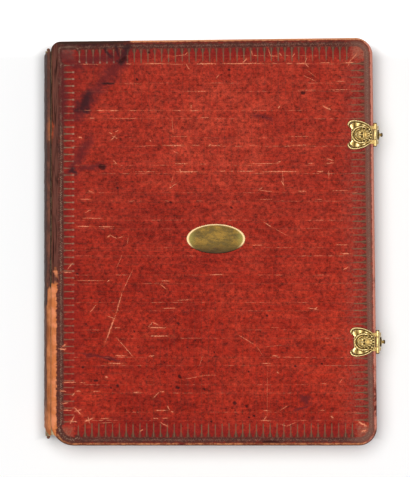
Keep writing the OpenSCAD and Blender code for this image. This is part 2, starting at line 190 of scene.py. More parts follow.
class Shell:
    """Collects rings and patches of points into one mesh with outward faces."""

    def __init__(self, name: str) -> None:
        """Starts an empty shell.

        Args:
            name: Name of its piece.
        """
        self.name = name
        self.points: list[Array] = []
        self.faces: list[list[int]] = []
        self.values: dict[str, list[Array]] = {}
        self.face_vectors: dict[str, Array] = {}
        self.count = 0

    def add_tube(self, layers: Array, **values: Array) -> None:
        """Adds a closed skin through rings of points, with a flat face on its first and last ring.

        Args:
            layers: Points in millimetres, in the shape (rings, points in a ring, 3).
            values: Named values, one for each point.
        """
        rings, count = layers.shape[:2]
        start = self.count
        self.points.append(layers.reshape(-1, 3))
        self.faces += (ring_faces(rings, count) + start).tolist()
        self.faces.append(list(range(start + count - 1, start - 1, -1)))
        last = start + (rings - 1) * count
        self.faces.append(list(range(last, last + count)))
        for key, value in values.items():
            self.values.setdefault(key, []).append(np.broadcast_to(value, (rings, count)).reshape(-1))
        self.count += rings * count

    def build(self, material: Material, smooth_angle: float = 35.0) -> Thing:
        """Makes the object.

        Args:
            material: Finish of the piece.
            smooth_angle: Largest angle between two faces that are shaded as one, in degrees.

        Returns:
            The new object, at the origin.
        """
        points = np.concatenate(self.points) * MM
        mesh = bpy.data.meshes.new(self.name)
        mesh.from_pydata(points.tolist(), [], self.faces)
        for key, parts in self.values.items():
            layer = mesh.attributes.new(key, "FLOAT", "POINT")
            layer.data.foreach_set("value", np.concatenate(parts).astype(np.float32))
        for key, rows in self.face_vectors.items():
            layer = mesh.attributes.new(key, "FLOAT_VECTOR", "FACE")
            layer.data.foreach_set("vector", rows.astype(np.float32).reshape(-1))
        mesh.update()
        face_up(mesh)
        mesh.set_sharp_from_angle(angle=math.radians(smooth_angle))
        mesh.materials.append(material)
        return link(self.name, mesh)


def face_up(mesh: bpy.types.Mesh) -> None:
    """Turns the faces of each closed shell outwards, and shades them smooth.

    Args:
        mesh: Mesh with one or more shells.
    """
    work = bmesh.new()
    work.from_mesh(mesh)
    bmesh.ops.recalc_face_normals(work, faces=work.faces)
    work.to_mesh(mesh)
    work.free()
    mesh.shade_smooth()


def settle(piece: Thing, body: Body, slot: Slot, *nodes: str) -> Thing:
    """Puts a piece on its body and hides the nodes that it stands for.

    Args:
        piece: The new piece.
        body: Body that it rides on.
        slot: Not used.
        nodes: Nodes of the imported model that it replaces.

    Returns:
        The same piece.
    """
    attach(piece, body.value)
    if nodes:
        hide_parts(*nodes)
    return piece


def bevelled_copy(name: str, node: str, width: float) -> Thing:
    """Copies a node, joins its loose triangles and softens its edges.

    Args:
        name: Name of the new piece.
        node: Node to copy.
        width: Width of the softened edges in millimetres.

    Returns:
        The new object.
    """
    mesh = NODES[node].data.copy()
    mesh.name = name
    work = bmesh.new()
    work.from_mesh(mesh)
    bmesh.ops.remove_doubles(work, verts=work.verts, dist=0.002 * MM)
    bmesh.ops.dissolve_limit(work, angle_limit=math.radians(2), verts=work.verts, edges=work.edges)
    work.to_mesh(mesh)
    work.free()
    mesh.shade_smooth()
    piece = link(name, mesh)
    bevel = piece.modifiers.new("soft_edges", "BEVEL")
    bevel.width = width * MM
    bevel.segments = 2
    bevel.limit_method = "ANGLE"
    bevel.angle_limit = math.radians(40)
    bevel.harden_normals = True
    return piece


class Nodes:
    """Short calls for the nodes of one tree."""

    def __init__(self, tree: bpy.types.NodeTree) -> None:
        """Takes the tree that gets the nodes."""
        self.tree = tree

    def put(self, socket: Socket, value: object) -> None:
        """Links a socket to another, or sets it to a plain value.

        Args:
            socket: The socket.
            value: Another socket, a plain value, or None to leave it as it is.
        """
        if isinstance(value, bpy.types.NodeSocket):
            self.tree.links.new(value, socket)
        elif value is not None:
            socket.default_value = value

    def add(self, kind: str, inputs: dict[str | int, object] | None = None,
            **settings: object) -> bpy.types.Node:
        """Adds a node.

        Args:
            kind: Its kind, without the words that every shader node starts with.
            inputs: What its inputs are linked or set to, by name or number.
            settings: Its other settings.

        Returns:
            The node.
        """
        node = self.tree.nodes.new(f"ShaderNode{kind}")
        for name, value in settings.items():
            setattr(node, name, value)
        for key, value in (inputs or {}).items():
            self.put(node.inputs[key], value)
        return node

    def math(self, operation: str, a: Value, b: Value = 0.0, clamp: bool = False) -> Socket:
        """Number worked out from one or two others."""
        return self.add("Math", {0: a, 1: b}, operation=operation, use_clamp=clamp).outputs[0]

    def vector(self, operation: str, a: Vector, b: Vector = (0, 0, 0)) -> Socket:
        """Vector worked out from two others."""
        return self.add("VectorMath", {0: a, 1: b}, operation=operation).outputs["Vector"]

    def dot(self, a: Socket, b: Socket) -> Socket:
        """Dot product of two vectors."""
        return self.add("VectorMath", {0: a, 1: b}, operation="DOT_PRODUCT").outputs["Value"]

    def step(self, value: Value, low: float, high: float, top: float = 1.0, base: float = 0.0) -> Socket:
        """Smooth step from base at low to top at high.

        Args:
            value: The number.
            low: Where the step starts. It may be above high.
            high: Where it ends.
            top: Result at high.
            base: Result at low.

        Returns:
            The result, held at both ends.
        """
        if low > high:
            low, high, top, base = high, low, base, top
        return self.line(value, low, high, base, top, "SMOOTHSTEP")

    def line(self, value: Value, low: float, high: float, base: float, top: float,
             kind: str = "LINEAR") -> Socket:
        """Change from base at low to top at high, held at both ends."""
        ends = {"Value": value, "From Min": low, "From Max": high, "To Min": base, "To Max": top}
        return self.add("MapRange", ends, interpolation_type=kind).outputs["Result"]

    def stretch(self, place: Socket, scale: Point, move: Point = (0, 0, 0)) -> Socket:
        """Scales a place along each axis and then moves it."""
        return self.vector("ADD", self.vector("MULTIPLY", place, scale), move)

    def noise(self, place: Socket, scale: float, detail: float = 3.0, roughness: float = 0.55) -> Socket:
        """Cloudy noise, about 0.5 in the middle, with a scale in waves for each millimetre."""
        inputs = {"Vector": place, "Scale": scale, "Detail": detail, "Roughness": roughness}
        return self.add("TexNoise", inputs).outputs["Fac"]

    def noise_vector(self, place: Socket, scale: float, reach: float) -> Socket:
        """A place moved by noise.

        Args:
            place: The place.
            scale: Waves for each millimetre.
            reach: Twice the farthest that it moves each way, about.

        Returns:
            The moved place.
        """
        node = self.add("TexNoise", {"Vector": place, "Scale": scale, "Detail": 2})
        shift = self.vector("SUBTRACT", node.outputs["Color"], (0.5, 0.5, 0.5))
        return self.vector("ADD", place, self.vector("MULTIPLY", shift, (reach, reach, reach)))

    def cells(self, place: Socket, scale: float, randomness: float = 1.0) -> tuple[Socket, Socket]:
        """Distance to the nearest of some scattered points, and a random number for that point."""
        node = self.add("TexVoronoi", {"Vector": place, "Scale": scale, "Randomness": randomness})
        return node.outputs["Distance"], self.add("SeparateColor", {0: node.outputs["Color"]}).outputs[0]

    def split(self, place: Socket) -> tuple[Socket, Socket, Socket]:
        """The three parts of a place."""
        return tuple(self.add("SeparateXYZ", {0: place}).outputs)

    def join(self, x: Value, y: Value, z: Value = 0.0) -> Socket:
        """A place from three numbers."""
        return self.add("CombineXYZ", {0: x, 1: y, 2: z}).outputs[0]

    def value_of(self, name: str) -> Socket:
        """A named value of the piece's own mesh."""
        return self.add("Attribute", attribute_name=name).outputs["Fac"]

    def vector_of(self, name: str) -> Socket:
        """A named vector of the piece's own mesh."""
        return self.add("Attribute", attribute_name=name).outputs["Vector"]

    def mix(self, share: Value, a: object, b: object, blend: str = "MIX") -> Socket:
        """Colour between a and b."""
        return self.add("Mix", {0: share, 6: a, 7: b}, data_type="RGBA", blend_type=blend).outputs[2]

    def less(self, a: Value, b: Value) -> Socket:
        """Difference of two numbers."""
        return self.math("SUBTRACT", a, b)

    def size(self, value: Value) -> Socket:
        """A number without its sign."""
        return self.math("ABSOLUTE", value)

    def fold(self, operation: str, values: Sequence[Value]) -> Socket:
        """One number from several, two at a time in their order."""
        return reduce(lambda total, value: self.math(operation, total, value), values)

    def sum(self, *values: Value) -> Socket:
        """Sum of several numbers."""
        return self.fold("ADD", values)

    def both(self, *values: Value) -> Socket:
        """Product of several shares."""
        return self.fold("MULTIPLY", values)

    def either(self, *values: Value) -> Socket:
        """Largest of several shares."""
        return self.fold("MAXIMUM", values)

    def seen_by(self, *rays: str) -> Socket:
        """Share that is 1 where a ray of one of these kinds looks, and 0 elsewhere."""
        path = self.add("LightPath")
        return self.either(*(path.outputs[f"Is {ray} Ray"] for ray in rays))


class Finish(Nodes):
    """A material with its shader. Places are in millimetres."""

    def __init__(self, name: str) -> None:
        """Makes the material with its shader and its coordinates.

        Args:
            name: Name of the material.
        """
        self.material = bpy.data.materials.new(name)
        self.material.use_nodes = True
        super().__init__(self.material.node_tree)
        self.tree.nodes.clear()
        self.shader = self.add("BsdfPrincipled")
        self.add("OutputMaterial", {"Surface": self.shader.outputs["BSDF"]})
        self.place = self.vector("MULTIPLY", self.add("TexCoord").outputs["Object"], (1000, 1000, 1000))

    def finish(self, colour: object, roughness: Value, height: Socket | None = None, depth: float = 0.1,
               specular: float = 0.3, metallic: Value = 0.0) -> Material:
        """Sets the shader.

        Args:
            colour: Base colour.
            roughness: Roughness.
            height: Height of the surface for the bump, from 0 to 1.
            depth: What a height of 1 stands for, in millimetres.
            specular: Strength of the plain reflection.
            metallic: Share of metal.

        Returns:
            The material.
        """
        self.put(self.shader.inputs["Base Color"], colour)
        self.put(self.shader.inputs["Roughness"], roughness)
        self.put(self.shader.inputs["Metallic"], metallic)
        self.shader.inputs["Specular IOR Level"].default_value = specular
        if height is not None:
            bump = self.add("Bump", {"Strength": 1.0, "Distance": depth * MM, "Height": height})
            self.put(self.shader.inputs["Normal"], bump.outputs["Normal"])
        return self.material


@dataclass(frozen=True)
class Mark:
    """A straight scratch or smear. Its ends are in pixels of the picture, its half-widths in millimetres."""

    x0_px: float
    y0_px: float
    x1_px: float
    y1_px: float
    w0: float = 0.3
    w1: float | None = None


def marks(*rows: tuple[float, ...]) -> tuple[Mark, ...]:
    """Marks from rows of two ends in pixels of the picture and one or two half-widths in millimetres."""
    return tuple(Mark(*row) for row in rows)


SCRATCHES = marks(
    (76.3, 64.2, 101, 64.6, 0.12), (126.8, 64, 130.5, 64, 0.3), (144, 63.7, 168, 63.6, 0.36),
    (166, 64.2, 184, 64.4, 0.12), (186, 64, 189.5, 69.5, 0.4, 0.1), (195, 63.8, 217, 63.6, 0.48),
    (221, 63.6, 264, 63.4, 0.42), (271, 63.4, 278, 63.4, 0.2), (287, 63.4, 292, 63.4, 0.3),
    (297, 63.4, 306.5, 63.6, 0.4), (304.8, 63.6, 307, 58, 0.4, 0.15), (305.5, 63.7, 308.5, 67.4, 0.3),
    (320, 62.8, 331, 62.6, 0.25), (343, 63, 356, 62.2, 0.3), (348, 66, 351, 59, 0.4, 0.25),
    (351, 60, 357, 53.5, 0.25), (246.9, 58.4, 242.6, 63.2, 0.4), (251.5, 50.5, 252.6, 55.3, 0.2),
    (252.6, 55.3, 258.6, 56, 0.25), (268.3, 49.2, 270.6, 56, 0.2), (270.6, 56, 278, 56.2, 0.25),
    (279.6, 53.2, 281.5, 55.6, 0.3), (285.5, 55.2, 288.6, 56, 0.25), (294.6, 53.4, 292.4, 57, 0.3),
    (173.5, 56.5, 186, 54.5, 0.2), (185, 54.6, 187.4, 52.8, 0.25), (121, 83.8, 144, 83.8, 0.09),
    (197.5, 91.3, 206, 91.2, 0.25), (296.7, 90.2, 319.6, 90, 0.16), (329, 89.8, 352, 89.6, 0.2),
    (335, 81.3, 346, 81.3, 0.22), (95.9, 110.6, 104, 110.6, 0.28), (108.9, 110.6, 119, 110.6, 0.4),
    (128.4, 110.6, 137, 110.6, 0.18), (175.6, 110.6, 181, 110.6, 0.18), (190, 110.6, 199.5, 110.6, 0.24),
    (191.1, 104.6, 191.1, 108.4, 0.3), (89.9, 118.2, 94.4, 118.2, 0.25), (107.3, 118.4, 144, 118.4, 0.1),
    (199, 117.7, 209, 117.5, 0.16), (109.2, 132.3, 112.4, 134.3, 0.3), (111.6, 139.5, 116, 135.2, 0.3),
    (114.8, 132, 118.3, 130.2, 0.3), (112, 136, 117.5, 138.4, 0.25), (150.2, 140.4, 150.6, 141, 0.45),
    (79.2, 137.3, 81.6, 137.6, 0.5), (144, 145.5, 157, 145.5, 0.1), (162.6, 145.4, 185, 145.3, 0.28),
    (174.4, 145.2, 175.2, 145.8, 0.5), (191, 145.3, 200, 145.3, 0.22), (208.6, 145.4, 223, 145.2, 0.3),
    (208.8, 146, 211, 144.2, 0.42), (247.7, 145.3, 258.4, 145.3, 0.16), (289, 145.3, 308, 145.1, 0.22),
    (166.5, 136.4, 191, 136.4, 0.1), (286, 136.4, 311, 136.3, 0.14), (172, 118, 173, 132, 0.14),
    (172, 150, 179, 154, 0.2), (174, 163.6, 188, 163.5, 0.36), (174, 171.7, 200, 171.7, 0.4),
    (180, 169, 180.6, 172.5, 0.36), (133.4, 171.7, 160, 171.8, 0.12), (146, 171.8, 149.5, 171.8, 0.3),
    (219.6, 171.1, 226, 171.1, 0.32), (229, 171.2, 233, 171.2, 0.2), (112.4, 163.8, 118.2, 163.9, 0.2),
    (113.2, 160, 116.6, 164, 0.3), (199.5, 164.1, 207, 164.1, 0.14), (236.4, 171.3, 255, 171.2, 0.26),
    (260.6, 171.6, 300.6, 171.5, 0.36), (282.4, 171.8, 283.2, 184, 0.18), (281.4, 181, 284, 185.4, 0.36),
    (316.6, 171.7, 323, 171.3, 0.4), (328.7, 170.4, 328.9, 178, 0.22), (308.3, 163.6, 313, 163.1, 0.34),
    (326, 163.6, 333.4, 162.8, 0.36), (327, 158.6, 333.6, 160.6, 0.36), (249.4, 163.6, 280, 163.6, 0.2),
    (276.5, 162.6, 280.5, 161.6, 0.3), (177, 183.4, 169, 188.2, 0.28), (173.5, 175, 171.3, 183.6, 0.09),
    (258.2, 190.2, 273, 191.6, 0.22), (258.4, 190.2, 263, 187, 0.22), (297, 191.3, 306, 191.2, 0.3),
    (331, 190.7, 349, 190.5, 0.16), (258, 199.3, 273, 199.3, 0.16), (315, 199.3, 323, 199.3, 0.2),
    (80, 199.3, 92, 199.4, 0.22), (88, 191.2, 93.6, 191.2, 0.22), (84, 213, 92, 209.2, 0.2),
    (82, 218, 104.5, 218.5, 0.2), (76, 226.2, 91, 226.4, 0.36), (95.4, 226.7, 117, 226.7, 0.14),
    (102.5, 226.7, 110.8, 226.7, 0.32), (107.6, 237, 110.2, 235, 0.42), (110.2, 235, 117, 238.4, 0.24),
    (117, 238.4, 123, 236.6, 0.24), (128.4, 236.4, 127.2, 244.6, 0.12), (122.5, 254, 116, 269.3, 0.08),
    (263, 221.5, 272.2, 227.2, 0.2, 0.34), (272.2, 227.2, 290, 237, 0.1), (340.6, 253.6, 350.6, 253.6, 0.4),
    (335, 244.8, 349.5, 244.8, 0.18), (251.5, 245.3, 263, 245, 0.18), (209, 274.8, 224, 274.4, 0.3),
    (343, 270, 348, 267, 0.25), (133.4, 268.4, 122.4, 291.5, 0.1, 0.22),
    (122.4, 291.5, 115.9, 314.2, 0.24, 0.5), (115.9, 314.2, 105.5, 342, 0.72, 0.42),
    (107.2, 315.8, 114.8, 318.8, 0.28), (113.8, 327.8, 120.4, 327.8, 0.26),
    (114.6, 335.6, 135.6, 359.4, 0.14, 0.26), (148.3, 327.5, 166.4, 327.8, 0.46),
    (148.5, 326.7, 152.8, 322.2, 0.34), (152.8, 322.2, 158.4, 325.4, 0.34), (149.5, 336, 168.2, 336, 0.46),
    (160.2, 281, 170, 280.8, 0.3), (161.5, 308.4, 174.6, 308.2, 0.3), (160.4, 284.4, 166, 288.8, 0.28),
    (177.2, 300.4, 191, 299.6, 0.18), (63.3, 272.6, 71.6, 272.4, 0.42), (67.4, 269.4, 72.6, 263, 0.34),
    (75.2, 280.6, 104.6, 280.6, 0.2), (107.6, 281.6, 109, 280.4, 0.46), (90, 312.6, 96.2, 304.6, 0.22),
    (114.8, 355.8, 125.8, 355.7, 0.36), (108.9, 363.3, 122.6, 363.4, 0.4), (59.5, 349, 66, 349.4, 0.7),
    (62.6, 346.4, 65.4, 344.4, 0.5), (148.4, 356.2, 154.2, 355.8, 0.3), (202.8, 355.8, 199.4, 365.4, 0.14),
    (182, 379.6, 205, 375.4, 0.14), (105.9, 376.8, 107.2, 377.2, 0.55), (62.8, 382.4, 77, 382.3, 0.42),
    (80, 382.8, 85.2, 382.8, 0.28), (60.6, 391, 66.4, 391.4, 0.46), (75.8, 391.2, 80.8, 391.2, 0.38),
    (92.8, 391.2, 99.8, 391.3, 0.26), (72, 396, 74.6, 392.8, 0.4), (62.6, 403.6, 68.4, 402.6, 0.46),
    (63.3, 410.4, 73, 410.2, 0.38), (74, 407, 81, 414.6, 0.5), (73.6, 411.4, 82, 409.6, 0.4),
    (70, 424, 74.4, 416, 0.46), (69.6, 420.6, 77.2, 422, 0.42), (84.2, 421.8, 93.4, 418, 0.6),
    (88, 416.4, 89.6, 423.6, 0.4), (100.7, 418.6, 109, 418.5, 0.34), (99.7, 422.9, 113.8, 422.4, 0.16),
    (134.2, 392.6, 139, 392.2, 0.36), (153.2, 397.9, 159.8, 391.7, 0.34), (159.8, 391.7, 163.8, 391.6, 0.3),
    (154.8, 410.5, 169.2, 410.3, 0.3), (167.6, 406, 169.4, 410, 0.36), (153.2, 418.5, 158.4, 418.5, 0.28),
    (162.4, 418.5, 168.2, 418.4, 0.28), (160.2, 422, 168.2, 426.8, 0.2, 0.4),
    (171.8, 411.6, 172.8, 412, 0.5), (140, 431.4, 143, 429.4, 0.42),
    (238.8, 335.2, 255.8, 345.4, 0.26, 0.2), (255.8, 345.4, 263, 356, 0.1), (272, 356, 277.8, 356, 0.34),
    (261.2, 363.3, 270.6, 363.3, 0.28), (307.9, 307.9, 318.4, 309.6, 0.28), (315, 309.4, 317.4, 306.8, 0.3),
    (269, 327.6, 279, 327.6, 0.12), (200, 375.6, 218, 375, 0.1), (321, 383.6, 326, 383.6, 0.24),
    (343.2, 377.4, 339.2, 383.8, 0.14), (263.4, 421, 266.4, 416.4, 0.34),
    (263.6, 420.4, 271.8, 420.8, 0.34), (263, 410.6, 269.8, 410.4, 0.22), (280, 424, 286.6, 426.2, 0.24),
    (286.6, 426.2, 296, 422.2, 0.2), (280, 410.4, 287.4, 406, 0.18), (320.6, 410.3, 325, 410.4, 0.24),
    (331.4, 416.4, 333, 417.8, 0.6), (267.3, 368, 267.2, 420, 0.07), (277.2, 372.4, 278.2, 373, 0.45),
    (359, 422, 366, 426, 0.9), (362, 431.6, 365.4, 430.4, 0.7), (216, 78.6, 219, 74.4, 0.2),
    (278, 108.2, 280.4, 105.4, 0.36), (302, 74.6, 317, 82, 0.16), (306.6, 70, 316, 77, 0.12),
    (323, 106, 330, 109.6, 0.6), (262, 347, 284, 345, 0.08),
)

BLOTS = marks(
    (101.4, 166.6, 102.6, 167.2, 2.0), (136.6, 79.2, 137.2, 79.6, 0.7), (149, 52.4, 149.6, 52.6, 0.7),
    (229, 69.4, 229.4, 69.6, 0.7), (302.6, 92.8, 303.8, 93, 1.1), (262.6, 117, 263, 117.2, 0.5),
    (179.2, 376, 179.8, 377, 1.0), (176.8, 387.2, 178, 387.8, 1.0), (94.6, 380.8, 97, 380.6, 0.8),
    (111, 387.6, 111.2, 387.8, 0.6), (117.4, 385.4, 117.8, 386.2, 0.8), (82.8, 367, 83, 367.4, 0.7),
    (267, 315.6, 267.2, 316, 0.7), (248.4, 371.6, 248.8, 371.8, 0.6), (295, 366, 295.4, 366.2, 0.8),
    (234.4, 402.8, 235, 403.4, 1.1), (254, 415.6, 254.4, 416, 0.7), (249, 417.4, 249.3, 417.6, 0.6),
    (246.2, 406.2, 246.6, 406.6, 0.7), (204, 389, 204.6, 389.4, 0.7), (211, 421.4, 211.4, 421.6, 0.6),
    (321.6, 363.6, 322, 363.8, 0.6), (204.6, 388.4, 205, 389, 0.6), (231.4, 207.6, 231.8, 208, 0.7),
    (117.2, 187.6, 117.6, 188, 0.7), (170.4, 202, 170.8, 202.4, 0.7), (134.2, 331, 134.6, 331.4, 0.5),
    (178, 323.4, 178.6, 323.8, 0.8), (76.8, 273.6, 77.4, 273.9, 0.7), (89, 281.8, 89.4, 282, 0.5),
    (86, 324, 86.3, 324.2, 0.5), (195, 340, 195.3, 340.4, 0.5), (108.6, 359, 110.4, 360.4, 0.5),
    (155, 283, 155.4, 283.2, 0.4), (187, 347, 187.3, 347.4, 0.5), (214, 352, 214.4, 352.6, 0.5),
    (264, 442.2, 278, 442.6, 1.3), (120, 62.6, 124.6, 58, 1.2), (104, 83.6, 114, 83.4, 0.5),
)

SMEARS = marks(
    (118, 64, 108, 76, 5.0), (108, 76, 94, 94, 3.4), (92, 94, 78, 114, 4.6), (88, 142, 76, 162, 3.0),
    (76, 160, 70, 172, 2.0), (84, 60, 118, 58, 3.4), (296, 410.3, 310, 404.2, 0.9), (62, 70, 64, 120, 2.0),
    (303, 398, 306, 400, 1.8), (86, 355, 120, 361, 1.0), (78, 168, 104, 166, 1.4), (64, 58, 78, 66, 3.0),
    (256, 116, 270, 118, 1.2),
)

CORES = marks(
    (127, 45, 124, 58, 1.8), (124, 58, 120, 62, 1.1), (88, 96, 82, 107, 2.2), (84, 105, 77, 110, 1.4),
    (80, 108, 86, 112, 1.6), (62, 42.6, 126, 42.6, 1.4), (106, 50, 110, 56, 0.9),
    (104, 83.6, 112, 83.4, 0.4), (73, 171, 75, 173, 1.3), (57, 110, 58, 128, 0.8), (57, 136, 58, 150, 0.8),
    (116, 46, 118, 56, 0.8),
)


MARK_SETS: dict[str, tuple[tuple[Mark, ...], int]] = {
    "scratch": (SCRATCHES, 3), "blot": (BLOTS, 1), "smear": (SMEARS, 3), "core": (CORES, 2),
}


def mark_planes(centres: Array, marks: Sequence[Mark], keep: int) -> list[tuple[Array, Array]]:
    """Finds the marks that lie nearest to each face, and writes each as two planes over the cover.

    A mark is the shape u^4 + v^2 < 1. Here u = a x + b y + c runs along it and v = d x + e y + f across it,
    both counted in its own half sizes.

    Args:
        centres: Middles of the faces in millimetres, in the shape (faces, 2).
        marks: The marks.
        keep: How many marks each face keeps.

    Returns:
        For each kept mark, the rows (a, b, c) and (d, e, f) of every face.
    """
    start = np.array([from_picture(m.x0_px, m.y0_px) for m in marks])
    end = np.array([from_picture(m.x1_px, m.y1_px) for m in marks])
    half = np.array([m.w0 if m.w1 is None else (m.w0 + m.w1) / 2 for m in marks])
    middle, run = (start + end) / 2, (end - start) / 2
    length = np.hypot(run[:, 0], run[:, 1])
    unit = run / length[:, None]
    offset_x = centres[:, :1] - middle[:, 0]
    offset_y = centres[:, 1:] - middle[:, 1]
    along = np.abs(offset_x * unit[:, 0] + offset_y * unit[:, 1])
    across = np.abs(offset_y * unit[:, 0] - offset_x * unit[:, 1])
    gap = np.hypot(np.maximum(along - length, 0), across) - half
    order = np.argsort(gap, axis=1)[:, :keep]
    planes = []
    for pick in order.T:
        u = unit[pick] / (length + half)[pick][:, None]
        v = np.stack([-unit[pick, 1], unit[pick, 0]], -1) / half[pick][:, None]
        planes.append(tuple(
            np.column_stack([side, -np.sum(side * middle[pick], axis=1)]) for side in (u, v)))
    return planes


def from_nearest(f: Finish, place: Socket, name: str) -> Socket:
    """How far a place lies from the nearest of a face's marks, in half-widths of the mark.

    Args:
        f: Material that gets the nodes.
        place: Place on the cover in millimetres.
        name: Name of the set of marks.

    Returns:
        The square root of the least u^4 + v^2: 0 on the line, 1 at the mark's edge and more outside.
    """
    x, y, _ = f.split(place)
    flat = f.join(x, y, 1.0)
    nearest: Socket | None = None
    for k in range(MARK_SETS[name][1]):
        u = f.dot(flat, f.vector_of(f"{name}_u{k}"))
        v = f.dot(flat, f.vector_of(f"{name}_v{k}"))
        share = f.sum(f.math("POWER", u, 4.0), f.both(v, v))
        nearest = share if nearest is None else f.math("MINIMUM", nearest, share)
    return f.math("SQRT", nearest)


@dataclass(frozen=True)
class LeatherTones:
    """Colours of the red goatskin and of its wear."""

    deep: tuple = tint(133, 32, 20)
    middle: tuple = tint(152, 42, 27)
    bright: tuple = tint(172, 57, 38)
    stain: tuple = tint(92, 28, 30)
    core: tuple = tint(48, 24, 28)
    blot: tuple = tint(50, 14, 14)
    scratch: tuple = tint(240, 148, 110)
    scuff: tuple = tint(198, 86, 52)
    band: tuple = tint(72, 40, 34)
    band_pale: tuple = tint(124, 86, 74)
    stroke: tuple = tint(78, 54, 42)
    stroke_pale: tuple = tint(184, 154, 128)
    petal: tuple = tint(124, 24, 24)
    stem: tuple = tint(112, 78, 56)
    worn_head: tuple = tint(216, 144, 100)
    worn_fore: tuple = tint(206, 132, 112)
    worn_tail: tuple = tint(206, 134, 88)
    edge: tuple = tint(92, 36, 28)
    edge_dark: tuple = tint(62, 40, 30)
    bare: tuple = tint(206, 118, 66)
    bare_bright: tuple = tint(230, 142, 98)
    brown: tuple = tint(104, 60, 50)
    corner: tuple = tint(150, 92, 72)
    corner_dark: tuple = tint(104, 72, 64)
    fore: tuple = tint(176, 106, 86)
    crack: tuple = tint(40, 16, 10)


TONES = LeatherTones()


@dataclass
class Tooling:
    """Blind-tooled border: a chain band between two lines, and a row of pointed arches inside it."""

    pitch: float = 4.2
    arch_start: float = 5.2
    arch_length: float = 9.0
    foot: float = 0.95
    stem: float = 0.22
    line_outer: float = 2.25
    line_inner: float = 4.65
    depth: float = 0.22

    def half_width(self, inset: Array) -> Array:
        """Half-width of an arch at an inset: stem + foot (1 - t)^3, where t runs along the arch."""
        t = np.clip((inset - self.arch_start) / self.arch_length, 0, 1)
        return self.stem + (self.foot - self.stem) * np.power(1 - t, 3)

    def height(self, along: Array, inset: Array, room: Array) -> Array:
        """Height of the tooled surface, 0 or less.

        Args:
            along: Place along the row in pitches, whole in the middle of an arch.
            inset: Distance from the edge of the border.
            room: Distance from the end of the row in pitches, above 0 inside it.

        Returns:
            The height in millimetres.
        """
        lines = bell((inset - self.line_outer) / 0.4) + bell((inset - self.line_inner) / 0.4)
        aside = np.abs(along - np.round(along)) * self.pitch
        inside = rise(inset, self.arch_start - 0.5, self.arch_start) * rise(
            inset, self.arch_start + self.arch_length, self.arch_start + self.arch_length - 0.8)
        arches = rise(aside - self.half_width(inset), 0.25, -0.15) * inside * (room > 0)
        return -self.depth * np.maximum(np.clip(lines, 0, 1), arches)


